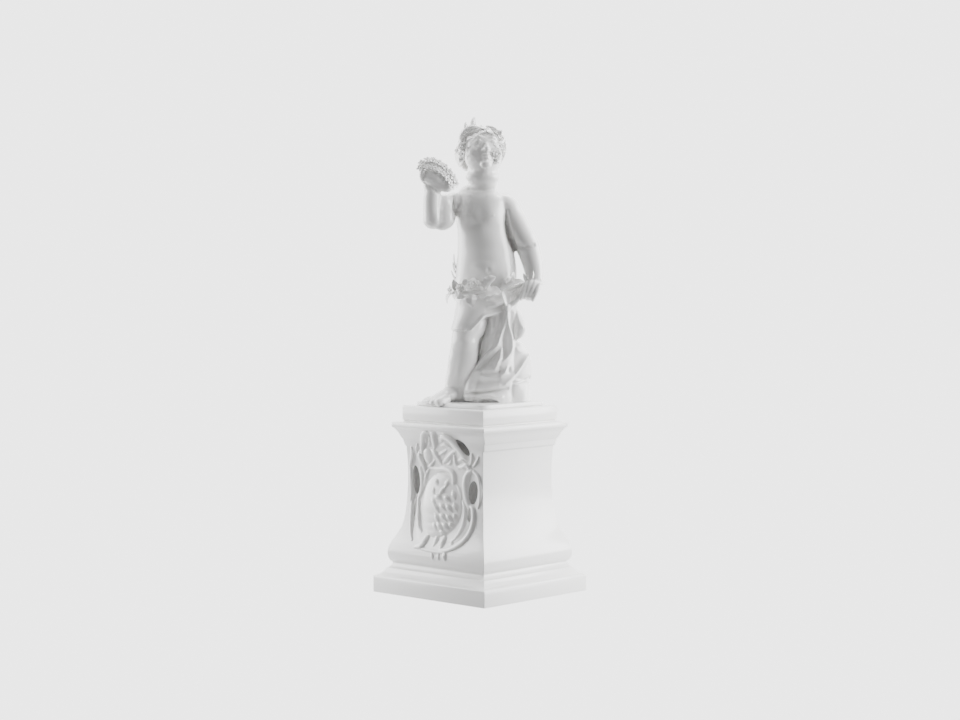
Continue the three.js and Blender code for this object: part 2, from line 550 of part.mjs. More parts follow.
function makeGarland() {
  const frontAt = (across) => -14.6 + 0.016 * across * across + Math.max(across - 12, 0) * 0.12;
  const path = [-19, -13, -6, 1, 8, 15, 22, 29];
  const rise = (across) => 68.6 + 0.09 * Math.max(across, 0);
  const parts = [limb(path.map((across) => [across, frontAt(across), rise(across), 1.9]), { sides: 5 })];
  parts.push(flower([-5.7, frontAt(-6) - 1.6, 72], 4.6, { petals: 6 }));
  parts.push(flower([-15.6, frontAt(-15) - 1.4, 70], 3.6, { facing: new THREE.Vector3(-0.5, -0.85, 0) }));
  parts.push(flower([34.2, -11, 73.9], 4, { facing: new THREE.Vector3(0.3, -0.9, 0.3) }));
  parts.push(leaf([-18, -9, 68], [-22, -7.6, 62], 4.4));
  parts.push(leaf([-12, -13, 72], [-17.6, -11, 75.6], 4));
  parts.push(leaf([1.6, -15, 70], [9.8, -15.6, 78.4], 4.8));
  parts.push(leaf([-2, -15.8, 69], [6.6, -17, 66.6], 6));
  parts.push(leaf([3, -16, 67.6], [13.9, -15, 71.2], 7));
  parts.push(leaf([13, -14.4, 70.6], [28.6, -11.4, 76.6], 5.2));
  parts.push(leaf([14, -14, 70], [18, -14.6, 60.6], 4.4));
  parts.push(leaf([-4.4, -15.4, 69], [-4.6, -17, 60], 5));
  parts.push(leaf([35, -9, 74], [40.6, -8, 75], 4.4));
  parts.push(leaf([32, -8, 73], [35.4, -9, 82], 3.4));
  for (let slim = 0; slim < 3; slim += 1) {
    const root = [-14 - slim, -1, 73 + slim * 4];
    parts.push(leaf(root, [-19.5 + slim * 0.6, 0, 84 + slim * 5.4], 3.2, { bow: 0.6 }));
  }
  return join(parts);
}

function makeBunch() {
  const parts = [blob([-27, -11, 142], [9, 6, 5.4])];
  const heads = [[-33.6, -13, 147.6, 4.2], [-27, -14.6, 147.6, 4.2], [-21.4, -14, 143, 4],
    [-17, -12.6, 138.6, 3.4], [-27, -7, 146.6, 4.4]];
  heads.forEach(([x, y, z, radius]) => {
    const facing = new THREE.Vector3((x + 26) * 0.05, -0.6, 0.8);
    parts.push(flower([x, y, z], radius, { facing }));
  });
  parts.push(leaf([-34.4, -12, 138], [-37.4, -12.4, 148], 3, { bow: 0.3 }));
  parts.push(leaf([-28, -12, 145], [-30, -13, 152.4], 3, { bow: 0.3 }));
  return join(parts);
}

function makeSlab() {
  const half = slabSide / 2 - slabCorner;
  const shape = new THREE.Shape();
  shape.absarc(half, half, slabCorner, 0, Math.PI / 2);
  shape.absarc(-half, half, slabCorner, Math.PI / 2, Math.PI);
  shape.absarc(-half, -half, slabCorner, Math.PI, Math.PI * 1.5);
  shape.absarc(half, -half, slabCorner, Math.PI * 1.5, Math.PI * 2);
  return solid(new THREE.ExtrudeGeometry(shape,
    { depth: slabThickness, bevelEnabled: false, curveSegments: 3 }));
}

function makeCherub() {
  const hollow = blob([3.6, -16.4, 0.6], [9.6, 7, 3]);
  const cloth = makeFall().subtract(hollow);
  const child = join([makeTorso(), makeArms(), makeHands(), makeLeg(), makeHead(), makeWrap(), cloth,
    makeHemRoll(), makeStump(), makeGarland(), makeBunch()]);
  const turned = child.rotate([0, 0, figureTurn]).translate([0, 0, slabThickness]);
  return withoutSpecks(turned.add(makeSlab()));
}

const figurine = new THREE.Group();
const pedestal = meshFrom(makePedestal(), 'pedestal');
figurine.add(pedestal);

const cherub = meshFrom(makeCherub(), 'cherub');
cherub.position.z = band.top + seatGap;
figurine.add(cherub);

export default figurine;
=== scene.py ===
"""A white porcelain child with a garland on a square pedestal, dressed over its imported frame."""

import json
import math

import bpy
import numpy as np
from mathutils import Euler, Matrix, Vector

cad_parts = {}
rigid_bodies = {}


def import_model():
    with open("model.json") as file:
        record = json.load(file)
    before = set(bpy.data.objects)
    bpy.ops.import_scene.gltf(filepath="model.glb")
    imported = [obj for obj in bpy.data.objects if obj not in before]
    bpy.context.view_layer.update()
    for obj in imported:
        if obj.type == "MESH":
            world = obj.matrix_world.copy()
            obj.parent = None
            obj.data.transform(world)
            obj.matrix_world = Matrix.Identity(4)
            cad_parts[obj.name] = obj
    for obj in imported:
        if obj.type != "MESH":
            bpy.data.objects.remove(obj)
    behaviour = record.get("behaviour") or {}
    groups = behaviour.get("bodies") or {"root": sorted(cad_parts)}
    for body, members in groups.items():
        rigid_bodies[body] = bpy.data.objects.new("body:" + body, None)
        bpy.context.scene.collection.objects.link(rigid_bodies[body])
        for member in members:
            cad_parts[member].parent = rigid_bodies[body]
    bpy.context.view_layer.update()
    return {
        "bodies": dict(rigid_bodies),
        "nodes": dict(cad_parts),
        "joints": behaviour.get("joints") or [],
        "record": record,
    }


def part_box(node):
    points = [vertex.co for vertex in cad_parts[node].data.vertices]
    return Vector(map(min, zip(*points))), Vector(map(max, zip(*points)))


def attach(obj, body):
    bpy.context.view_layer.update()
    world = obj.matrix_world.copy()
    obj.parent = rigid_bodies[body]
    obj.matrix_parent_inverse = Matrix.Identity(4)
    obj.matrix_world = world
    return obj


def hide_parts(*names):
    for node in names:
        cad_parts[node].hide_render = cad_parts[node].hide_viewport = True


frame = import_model()

# Camera
# The photograph was taken from a little over the pedestal's near left corner, with a long lens.
VIEW_TURN = math.radians(42.8)
VIEW_DISTANCE = 1.327
VIEW_HEIGHT = 0.212
VIEW_DIP = math.radians(2.8)
LENS_MM = 78.75

bpy.ops.object.camera_add(
    location=(math.sin(VIEW_TURN) * VIEW_DISTANCE, -math.cos(VIEW_TURN) * VIEW_DISTANCE, VIEW_HEIGHT),
    rotation=(math.pi / 2 - VIEW_DIP, 0, VIEW_TURN))
camera = bpy.context.object
camera.data.lens = LENS_MM
bpy.context.scene.camera = camera

# Pedestal
# One hollow casting of white porcelain: a plinth with a cyma, a body that swells and narrows, a cornice and
# a cap. Its four sides share one outline, and the front one carries the cartouche.
MM = 0.001
PEDESTAL_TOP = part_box("pedestal")[1][2] / MM
PLINTH_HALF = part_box("pedestal")[1][0] / MM
# The outline in millimetres, as half width and height from the table up.
OUTLINE = [(48, 0), (48, 10.2), (47.3, 10.8), (45.6, 11.4), (44.2, 12.4), (43.1, 13.7), (42.4, 15),
           (42, 15.6), (41.2, 15.8), (40.2, 16.8), (39.5, 17.9), (39.2, 18.8), (39.5, 19.3), (40.5, 20.3),
           (41.2, 21.9), (41.6, 24), (41.6, 26), (41.3, 28.2), (40.6, 30.6), (39.5, 33), (38.1, 35.6),
           (36.7, 38.4), (35.3, 42), (34.2, 46.4), (33.4, 52), (32.8, 60), (32.4, 69), (32.4, 78), (32.6, 85),
           (33.1, 92.6), (33.3, 93.6), (34.2, 97.2), (34.6, 98.2), (36.4, 101.6), (38.4, 104), (39.7, 105),
           (39.7, 107.5), (39, 108.2), (34.1, 108.3), (34.1, 109.1), (34.8, 109.6), (34.8, 117.9),
           (34.1, 118.6)]
# The sides have two fine fillets under the cornice that the front lacks.
FILLETS = {92.6: 0.0, 93.6: 1.1, 97.2: 0.9, 98.2: 1.5, 101.6: 0.8}
ARRIS = 0.55
BEVEL_FROM = math.radians(32)
PEDESTAL_CREASE = math.radians(34)


def only(piece):
    bpy.ops.object.select_all(action="DESELECT")
    piece.select_set(True)
    bpy.context.view_layer.objects.active = piece


def apply_modifier(piece, kind, **settings):
    only(piece)
    modifier = piece.modifiers.new(kind.title(), kind)
    for name, value in settings.items():
        setattr(modifier, name, value)
    bpy.ops.object.modifier_apply(modifier=modifier.name)


def points_of(piece):
    flat = np.empty(len(piece.data.vertices) * 3)
    piece.data.vertices.foreach_get("co", flat)
    return flat.reshape(-1, 3)


def set_points(piece, points):
    piece.data.vertices.foreach_set("co", np.asarray(points, float).ravel())
    piece.data.update()


def join(pieces, name):
    bpy.ops.object.select_all(action="DESELECT")
    for piece in pieces:
        piece.select_set(True)
    bpy.context.view_layer.objects.active = pieces[0]
    bpy.ops.object.join()
    joined = bpy.context.object
    joined.name = name
    joined.data.name = name
    return joined


def body_half(height):
    heights = [up for half, up in OUTLINE]
    halves = [half for half, up in OUTLINE]
    return np.interp(height, heights, halves)


bpy.ops.object.select_all(action="DESELECT")
bpy.ops.mesh.primitive_plane_add(size=2 * PLINTH_HALF)
pedestal = bpy.context.object
bpy.ops.object.mode_set(mode="EDIT")
bpy.ops.mesh.select_all(action="SELECT")
for (lower_half, lower_up), (half, up) in zip(OUTLINE, OUTLINE[1:]):
    bpy.ops.mesh.extrude_region_move(TRANSFORM_OT_translate={"value": (0, 0, up - lower_up)})
    side_share = (half + FILLETS.get(up, 0)) / (lower_half + FILLETS.get(lower_up, 0))
    bpy.ops.transform.resize(value=(side_share, half / lower_half, 1), center_override=(0, 0, 0))
bpy.ops.mesh.select_all(action="SELECT")
bpy.ops.mesh.normals_make_consistent(inside=False)
bpy.ops.object.mode_set(mode="OBJECT")
apply_modifier(pedestal, "BEVEL", width=ARRIS, segments=3, limit_method="ANGLE", angle_limit=BEVEL_FROM)

# Cartouche
# A rocaille relief pressed in one with the pedestal's front: C scrolls, a plume and leaves round a plain
# oval boss with a spray of leaves. It is a sheet over the face, raised by strokes.
RELIEF_LEFT, RELIEF_RIGHT = -32.2, 32.2
RELIEF_BOTTOM, RELIEF_TOP = 21, 104
RELIEF_STEP = 0.34
RELIEF_ROOT = 1.6
RELIEF_BELOW = -0.35
STEPS_PER_GAP = 7
# Two thin plates lie behind the scrolls and behind the plume: across, up, half width and half height.
PLATE = (0, 57, 27.5, 31)
CREST = (0, 90, 19, 13)
PLATE_RISE = 0.75
SCROLL_FLOOR = 0.2
SCROLL_REACH = 1.15


def through(stations, along):
    """Smooth values through the rows of stations, at shares of the way from the first to the last."""
    rows = np.array(stations, float)
    place = np.clip(along, 0, 1) * (len(rows) - 1)
    index = np.minimum(place.astype(int), len(rows) - 2)
    part = (place - index)[..., None]
    rows = np.vstack([2 * rows[0] - rows[1], rows, 2 * rows[-1] - rows[-2]])
    before, start, end, after = (rows[index + step] for step in range(4))
    return 0.5 * (2 * start + (end - before) * part + (2 * before - 5 * start + 4 * end - after) * part ** 2
                  + (3 * start - before - 3 * end + after) * part ** 3)


def stroke_field(places, stroke):
    """Each place's share of the width of a stroke of rows (across, up, width, rise), and the rise there."""
    line = through(stroke, np.linspace(0, 1, (len(stroke) - 1) * STEPS_PER_GAP + 1))
    low = line[:, :2].min(axis=0) - 3.2 * line[:, 2].max()
    high = line[:, :2].max(axis=0) + 3.2 * line[:, 2].max()
    near = np.all((places > low) & (places < high), axis=1)
    share = np.full(len(places), 9.0)
    rise = np.zeros(len(places))
    best = np.full(near.sum(), 9.0)
    best_rise = np.zeros(near.sum())
    spots = places[near]
    for start, end in zip(line, line[1:]):
        run = end[:2] - start[:2]
        part = np.clip((spots - start[:2]) @ run / max(run @ run, 1e-9), 0, 1)
        gap = np.linalg.norm(spots - start[:2] - part[:, None] * run, axis=1)
        width = np.maximum(start[2] + (end[2] - start[2]) * part, 0.05)
        closer = gap / width < best
        best[closer] = (gap / width)[closer]
        best_rise[closer] = (start[3] + (end[3] - start[3]) * part)[closer]
    share[near] = best
    rise[near] = best_rise
    return share, rise


def rounded(share):
    """A stroke's section: full in the middle, rolling over to its edge at a share of one."""
    return np.sqrt(np.clip(1 - share ** 2, 0, 1))


SCROLLS = [
    [(-18.6, 89.6, 1.4, 1.2), (-17.4, 94, 2.2, 2), (-14.8, 99.4, 2.4, 2), (-10.6, 103, 1.4, 0.8)],
    [(-7.6, 93.4, 1.2, 1), (-6.4, 97, 2.2, 2.2), (-5.4, 101, 2.2, 1.8), (-3.4, 103.4, 1, 0.6)],
    [(-20.6, 90, 1.1, 1), (-20.8, 86.6, 1.6, 1.6), (-18, 82.4, 1.6, 1.8), (-16, 77.6, 1.3, 1.4),
     (-15.4, 74, 0.9, 0.8)],
    [(-14.2, 89.4, 3, 1.4), (-13.6, 86.8, 3.2, 1.5), (-12.8, 84.4, 2, 1.2)],
    [(-13.4, 80.8, 0.9, 0.8), (-10.4, 82.4, 1.1, 1.4), (-8.2, 85, 0.8, 0.8)],
    [(-10.4, 92, 0.9, 0.8), (-7, 89.6, 1.7, 1.8), (-3.8, 85.6, 1.5, 1.4), (-2.4, 83.4, 0.7, 0.6)],
    [(0, 84.4, 0.9, 0.8), (4, 87.4, 1.7, 1.7), (8, 90.6, 1.3, 1.4), (10.4, 92, 0.7, 0.6)],
    [(9.4, 89, 1.1, 1.2), (10.2, 85, 1.5, 1.6), (12.4, 81.8, 1, 0.8)],
    [(-1, 98, 1.4, 1), (3, 100.4, 2, 2.2), (8.6, 98.6, 2.4, 2.8), (13.4, 94, 2.4, 2.8), (17.2, 89.8, 2, 2.2),
     (19, 87.4, 1, 1)],
    [(-28.4, 92, 0.9, 0.6), (-27.4, 88, 1.5, 1.2), (-28.6, 82.6, 1.5, 1.4), (-30.4, 80, 0.9, 0.6)],
    [(-30, 80, 0.9, 0.6), (-28.6, 75, 1.5, 1.8), (-27.6, 69, 1.7, 2.4), (-27.2, 63, 1.6, 2.2),
     (-28.6, 58.6, 1.1, 1.2)],
    [(-20.6, 80, 1, 1), (-18.8, 72.6, 1.7, 1.6), (-19.2, 66, 1.6, 1.4), (-21.4, 61, 1.1, 1)],
    [(-22.4, 61, 0.9, 0.8), (-21.2, 55, 1.5, 1.6), (-20.8, 49, 1.5, 1.6), (-19.2, 43.6, 1.4, 1.4),
     (-16.4, 40.4, 0.8, 0.8)],
    [(-27.8, 59.6, 1, 0.9), (-27.4, 52, 1.4, 1.5), (-26.8, 45, 1.4, 1.4), (-25, 38.6, 1, 1),
     (-22.4, 34.6, 0.7, 0.5)],
    [(-13, 79.4, 0.9, 0.8), (-15.6, 74.8, 1.2, 1.3), (-17, 68.6, 1.1, 1)],
    [(-12, 80.4, 0.9, 0.8), (-5, 79.8, 1.5, 1.2), (2.4, 80.2, 1.6, 1.6), (7.8, 78.2, 1.6, 2),
     (8.8, 73, 1.5, 1.9), (8, 68.4, 0.9, 1)],
    [(12.4, 82.6, 0.9, 1), (15.8, 82.6, 1.5, 1.8), (19.6, 83.8, 1.6, 2), (21.6, 81.6, 1.3, 1.6),
     (19.8, 79.4, 0.8, 1)],
    [(23.4, 81, 1.2, 1.4), (19.8, 78, 1.8, 2.2), (18.4, 72.6, 2.1, 2.5), (19, 66.6, 2.1, 2.5),
     (20.6, 61.4, 1.8, 2.2), (22, 58.6, 1.2, 1.2)],
    [(25, 80.6, 1.1, 1), (29, 77, 1.3, 1.3), (30.6, 70, 1.1, 1.2), (30.4, 63, 1.1, 1.1),
     (29, 58.4, 0.8, 0.7)],
    [(22.4, 84.6, 0.9, 1), (24.2, 87.6, 1.2, 1.5), (24, 91, 0.8, 0.8)],
    [(25, 83.6, 0.8, 0.8), (27.4, 86, 1.1, 1.2), (29.4, 89.4, 0.7, 0.6)],
    [(22, 59.6, 0.9, 0.9), (25.2, 57, 1.5, 1.6), (26, 50.6, 1.6, 1.8), (24.8, 44.2, 1.6, 1.8),
     (21.2, 38.2, 1.6, 1.8), (15.6, 33.8, 1.6, 1.6), (9, 31.2, 1.3, 1.2), (4, 30.6, 0.8, 0.7)],
    [(16.4, 61, 0.9, 0.8), (18.4, 56.4, 1.4, 1.6), (18.6, 50.4, 1.5, 1.8), (17, 44.4, 1.5, 1.7),
     (14, 39.4, 1.2, 1.3), (10.6, 36.2, 0.8, 0.7)],
    [(10.6, 71.4, 0.9, 0.8), (13.4, 68, 1.1, 1.3), (14.6, 63, 1, 1)],
    [(-9.4, 39, 1, 1), (-10.6, 36, 2.2, 2.2), (-12.6, 32.8, 2.2, 2), (-17.4, 31.2, 1.3, 1)],
    [(-2.6, 40, 0.9, 0.7), (-1.6, 36.8, 1.7, 1.6), (-2.4, 33.4, 1, 0.8)],
    [(4.2, 39.6, 0.9, 0.9), (4.4, 36.2, 2.2, 2.2), (4.2, 32.8, 1.2, 1)],
    [(10.8, 38, 0.8, 0.7), (11.8, 35.6, 1.1, 1.1), (13.4, 34, 0.7, 0.5)],
    [(-15, 30.4, 0.8, 0.4), (-6, 29.8, 1, 0.8), (3, 29.6, 1, 0.9), (9, 29.8, 0.9, 0.7)],
    [(8, 29, 1, 0.8), (8.6, 27.2, 1.5, 1.5), (9, 25, 0.6, 0.4)],
    [(-2.6, 28, 0.7, 0.5), (-2, 26.4, 1, 0.8), (-1.8, 24.8, 0.5, 0.3)],
    [(-15.4, 95.6, 0.7, 0.8), (-13, 97.4, 1, 1.4), (-12.2, 100.4, 0.6, 0.8)],
    [(-11.6, 94.6, 0.7, 0.8), (-10.2, 97.4, 1, 1.4), (-9.6, 100.6, 0.6, 0.8)],
    [(-1.6, 94.6, 0.8, 0.8), (2.6, 95.6, 1.3, 1.5), (6.6, 94, 0.7, 0.8)],
    [(-4.6, 88.6, 0.6, 0.6), (-0.6, 90.2, 1.1, 1.2), (2.6, 92.2, 0.6, 0.6)],
    [(3.4, 83.6, 0.6, 0.6), (5.8, 84.6, 1, 1.2), (6.6, 87.2, 0.6, 0.6)],
    [(12.2, 86, 0.6, 0.6), (15.2, 87.2, 1, 1.2), (17.4, 85.6, 0.6, 0.6)],
    [(-22.6, 94.6, 0.6, 0.5), (-23.4, 91.4, 1.1, 1.1), (-22.6, 88, 0.6, 0.6)],
    [(-16.6, 61, 0.7, 0.6), (-18.4, 56, 1, 1.1), (-17.6, 51, 1, 1.1), (-15.6, 46.6, 0.7, 0.6)],
    [(3, 28, 0.7, 0.5), (3.4, 26.4, 1, 0.8), (3.6, 24.8, 0.5, 0.3)],
]
# Where the scrolls curl away from the ground they leave deep hollows: across, up, radii and lean in degrees.
PITS = [(24.4, 66.8, 3.8, 9, 7.6, 5), (-24.2, 71.4, 3, 8, 9.8, -8), (15.8, 96.6, 2.7, 7, 7.2, -42),
        (-24.6, 50, 0.9, 1, 8, 5), (22, 49, 1.5, 1.4, 8, 4)]
# The boss: a plain crowned oval, fullest in its middle, with a spray of loose leaves on its right half.
BOSS = (-1.2, 57.5, 17.2, 20)
BOSS_LEAN = 0.05
BOSS_CREST = -4.5
BOSS_FLOOR = 0.5
BOSS_RISE = 3.6
# Each leaf of the spray: middle across and up, turn in degrees, length and rise.
SPRAY_LEAVES = [(1.6, 67, 52, 6.4, 1.7), (-4.6, 72, -38, 5, 1), (4.4, 71.6, 70, 5.4, 1),
                (-6.4, 66.4, -64, 5, 0.8), (-1.6, 62.6, -20, 7, 1.6), (5.6, 62.4, -34, 6.6, 1.9),
                (10.4, 64.6, -66, 6, 1.2), (-5.6, 59.6, -50, 6, 0.8), (-2.6, 55.8, -46, 7.4, 1.4),
                (2.6, 57, -32, 6.6, 1.8), (7.6, 56.6, -42, 6.6, 1.9), (12, 57.6, -62, 6, 1.3),
                (-2, 49.6, -52, 6.8, 1.2), (3.2, 50.8, -36, 6.8, 1.8), (8, 50.4, -42, 6.6, 1.9),
                (12.2, 51, -58, 5.4, 1.4), (0.6, 44.6, -42, 6.4, 1.4), (5.2, 45.2, -34, 6.4, 1.8),
                (9.8, 45.4, -44, 6, 1.6), (3.4, 40.8, -22, 5.6, 1.1), (-3.6, 44.4, -56, 5, 0.8)]
SPRAY = []
for middle, up, turn, length, rise in SPRAY_LEAVES:
    way = np.array([math.cos(math.radians(turn)), math.sin(math.radians(turn))]) * length / 2
    SPRAY.append([(middle - way[0], up - way[1], 0.4, rise * 0.4), (middle, up + 0.4, 1.6, rise),
                  (middle + way[0], up + way[1], 0.4, rise * 0.3)])


def oval(places, centre, centre_up, half_width, half_height, lean=0):
    """How far out each place lies in an oval, with one at its rim."""
    return np.hypot((places[:, 0] - centre - lean) / half_width, (places[:, 1] - centre_up) / half_height)


def relief_height(places):
    """The relief's height over the pedestal's face at each (across, up), in millimetres."""
    tilt = BOSS_LEAN * (places[:, 1] - BOSS[1])
    plate = np.clip((1 - oval(places, *PLATE, tilt)) * 7, 0, 1)
    crest = np.clip((1 - oval(places, *CREST)) * 5, 0, 1)
    height = np.maximum(plate, crest) * PLATE_RISE + RELIEF_BELOW
    boss = oval(places, *BOSS, tilt)
    across = places[:, 0] - tilt - BOSS_CREST
    half = np.where(across < 0, BOSS_CREST - BOSS[0] + BOSS[2], BOSS[0] + BOSS[2] - BOSS_CREST)
    swell = np.hypot(across / half, (places[:, 1] - BOSS[1]) / BOSS[3])
    crown = BOSS_FLOOR + BOSS_RISE * np.clip(1 - swell ** 2, 0, 1) ** 0.6
    for spray in SPRAY:
        share, rise = stroke_field(places, spray)
        crown = crown + rise * rounded(share) * np.clip((1 - boss) * 6, 0, 1)
    height = np.where(boss < 1, np.maximum(height, crown), height)
    for scroll in SCROLLS:
        share, rise = stroke_field(places, scroll)
        section = np.clip(1 - np.abs(share / SCROLL_REACH) ** 2.2, 0, 1) ** 0.7
        height = np.maximum(height, np.where(share < SCROLL_REACH, SCROLL_FLOOR + rise * section,
                                             RELIEF_BELOW))
    return height


def sphere(segments, rings):
    bpy.ops.object.select_all(action="DESELECT")
    bpy.ops.mesh.primitive_uv_sphere_add(segments=segments, ring_count=rings)
    return bpy.context.object


def blob(centre, radii, turn=(0, 0, 0), segments=20, rings=14):
    """A round form about its centre, turned by degrees about x, y and z."""
    piece = sphere(segments, rings)
    rotation = np.array(Euler([math.radians(angle) for angle in turn]).to_matrix())
    set_points(piece, points_of(piece) * radii @ rotation.T + centre)
    return piece


def carve(piece, cutter):
    apply_modifier(piece, "BOOLEAN", object=cutter, operation="DIFFERENCE", solver="EXACT")
    bpy.data.objects.remove(cutter)


columns = int((RELIEF_RIGHT - RELIEF_LEFT) / RELIEF_STEP)
rows = int((RELIEF_TOP - RELIEF_BOTTOM) / RELIEF_STEP)
bpy.ops.object.select_all(action="DESELECT")
bpy.ops.mesh.primitive_grid_add(x_subdivisions=columns, y_subdivisions=rows, size=1)
relief = bpy.context.object
flat = points_of(relief)
across = RELIEF_LEFT + (flat[:, 0] + 0.5) * (RELIEF_RIGHT - RELIEF_LEFT)
up = RELIEF_BOTTOM + (flat[:, 1] + 0.5) * (RELIEF_TOP - RELIEF_BOTTOM)
rise = relief_height(np.column_stack([across, up]))
border = (np.abs(flat[:, :2]) > 0.499).any(axis=1)
rise[border] = RELIEF_BELOW
set_points(relief, np.column_stack([across, -body_half(up) - rise, up]))
apply_modifier(relief, "SMOOTH", factor=0.5, iterations=1)
bpy.ops.object.mode_set(mode="EDIT")
bpy.ops.mesh.select_all(action="SELECT")
bpy.ops.mesh.extrude_region_move(TRANSFORM_OT_translate={"value": (0, RELIEF_ROOT, 0)})
bpy.ops.mesh.select_all(action="SELECT")
bpy.ops.mesh.normals_make_consistent(inside=False)
bpy.ops.object.mode_set(mode="OBJECT")
apply_modifier(pedestal, "BOOLEAN", object=relief, operation="UNION", solver="EXACT")
bpy.data.objects.remove(relief)
# The pits widen behind their mouths.
UNDERCUT = 1.5
PIT_SINK = 0.74
for across, up, half_width, depth, half_height, lean in PITS:
    middle = (across, -body_half(up) + depth * PIT_SINK, up)
    radii = (half_width * UNDERCUT, depth, half_height * UNDERCUT)
    carve(pedestal, blob(middle, radii, (0, lean, 0), segments=40, rings=24))
pedestal.name = "pedestal_porcelain"
set_points(pedestal, points_of(pedestal) * MM)
only(pedestal)
bpy.ops.object.shade_smooth_by_angle(angle=PEDESTAL_CREASE)
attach(pedestal, "root")
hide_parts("pedestal")

# Child
# The figure is cast in porcelain with its arms and legs luted on. It is modelled in millimetres as the
# photograph shows it, x to the right, y away and z up from its ground, and then turned and set down.
SLAB_THICKNESS = 2.2
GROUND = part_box("cherub")[0][2] / MM + SLAB_THICKNESS
# The highest leaf's tip is modelled 179 mm over the ground, and the frame gives its true height.
MODELLED_TIP = 179
FIGURE = (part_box("cherub")[1][2] / MM - GROUND) / MODELLED_TIP
AT_POLE = 1e-4


def round_places(piece):
    """Where a sphere's points lie: the share of the way up, the angle from the front, and what is a pole."""
    ball = points_of(piece)
    along = np.arccos(np.clip(-ball[:, 2], -1, 1)) / math.pi
    angle = np.arctan2(ball[:, 0], -ball[:, 1])
    return along, angle, np.hypot(ball[:, 0], ball[:, 1]) < AT_POLE


def limb(stations, facing=(0, -1, 0), segments=20, rings=None, ripple=None):
    """A round form through rows (x, y, z, side, front, back), its front turned to facing."""
    rows = [list(row[:4]) + list(row[4:] or row[3:4] * 2) for row in stations]
    rows = [row + row[-1:] if len(row) == 5 else row for row in rows]
    piece = sphere(segments, rings or 5 * len(rows))
    along, angle, pole = round_places(piece)
    values = through(rows, along)
    ahead = through(rows, np.minimum(along + 0.01, 1))[:, :3]
    behind = through(rows, np.maximum(along - 0.01, 0))[:, :3]
    way = ahead - behind
    way /= np.linalg.norm(way, axis=1, keepdims=True)
    facing = np.array(facing, float)
    front = facing - way * (way @ facing)[:, None]
    front /= np.linalg.norm(front, axis=1, keepdims=True)
    side = np.cross(way, front)
    reach = np.where(np.cos(angle) > 0, values[:, 4], values[:, 5])
    swell = np.ones(len(along)) if ripple is None else 1 + ripple(along, angle)
    swell[pole] = 0
    set_points(piece, values[:, :3] + front * (np.cos(angle) * reach * swell)[:, None]
               + side * (np.sin(angle) * values[:, 3] * swell)[:, None])
    return piece


def fuse(pieces, name, grain, soften):
    """Joins the forms into one skin, as slip fills the joints, and softens it."""
    piece = join(pieces, name)
    apply_modifier(piece, "REMESH", mode="VOXEL", voxel_size=grain)
    apply_modifier(piece, "SMOOTH", factor=0.5, iterations=soften)
    return piece


torso = limb([(3, 1, 60, 15.5, 11, 11), (3, 1, 69, 19, 13, 14.4), (3.9, 0, 79, 19.6, 15, 13.4),
              (3.8, 0, 88, 19, 15.8, 11), (2.8, 0, 98, 17.4, 14.4, 10.4), (1.6, 0.5, 108, 16.2, 13, 10.8),
              (0.8, 1, 117, 16.6, 13, 12.2), (0.4, 1.5, 125, 16.9, 11.4, 12.2),
              (0.8, 2, 130.6, 14.6, 8.8, 10.4), (1.8, 1.8, 135.2, 9.2, 7.6, 8.4),
              (1.9, 1.2, 140, 10, 8.2, 8.2), (2, 1.6, 147, 10, 8.4, 8), (2, 2.2, 154, 8, 6, 6)],
             facing=(-0.17, -0.98, 0), segments=36)
upper_raised = limb([(-7, 2, 124, 5), (-13.4, 1.4, 124.8, 7), (-18.8, -1.4, 124.2, 6.8),
                     (-21.6, -5, 119.8, 6.5), (-22.2, -7.8, 115, 6.8), (-25.4, -9.2, 112, 5.4),
                     (-28, -9.2, 110.6, 3)])
fore_raised = limb([(-27.6, -9, 108.4, 3), (-28.7, -9.6, 113.2, 7), (-29.9, -10.5, 120, 5.8),
                    (-30, -11, 127, 5.6), (-29.4, -11.4, 134, 5)])
belly = blob((4, -7.4, 85), (13, 9.2, 10))
shoulder = blob((-22.6, -6.2, 124.6), (4.8, 5, 6.2))
lowered = limb([(5, 2, 121, 3), (11, 2, 123.4, 7), (16.6, 1.6, 123, 7.6), (21.2, 1, 115, 7.7),
                (25.9, -0.5, 105.5, 8), (29.7, -1.5, 98.5, 7.8), (32.4, -3, 90, 7.1), (34.2, -5, 81, 6.2),
                (34.3, -6.8, 75, 5.2), (33.4, -8, 70, 4.4)])
leg = limb([(-4, -2, 60, 11.5, 10), (-6.6, -6.4, 48, 10.9, 9.6), (-8.8, -8.6, 42, 9.1, 8.8),
            (-9.6, -9, 36.5, 8.7, 8.2, 8.2), (-10, -7.6, 31, 9.3, 8, 9), (-10.8, -6.4, 25.5, 9.5, 7.6, 9),
            (-11.9, -5, 20, 8.9, 7, 8), (-13.2, -3.8, 15, 8.6, 6.6, 7), (-13.6, -3, 10, 8.8, 6.4, 6.6),
            (-13.2, -2.4, 5, 9, 6.4, 6.4), (-12.6, -2, 1, 8, 6, 6.4), (-12.6, -2, -1.2, 7.4, 5.6, 6)])
foot = limb([(-9.4, 0, 3.6, 2.4), (-12.6, -1.4, 4, 5.8, 5, 5), (-18.5, -5.4, 4.6, 6.6, 5, 5.4),
             (-24, -9.4, 3.2, 7, 3.6, 4.2), (-28, -12.2, 1.7, 6.6, 2.4, 3.2),
             (-29.6, -13.4, 1.4, 5, 1.5, 2.2)], facing=(0, 0, 1))

# The head's own frame has its face to -Y and its crown up. It is tilted back and a little to the right.
HEAD_AT = np.array([1.4, 1.6, 157.6])
HEAD_SIZE = 1.05
HEAD_TURN = np.array(Euler((math.radians(-23), math.radians(4), math.radians(11)), "XYZ").to_matrix())


def on_head(places):
    return np.asarray(places, float) * HEAD_SIZE @ HEAD_TURN.T + HEAD_AT


def to_head(piece):
    set_points(piece, on_head(points_of(piece)))
    return piece


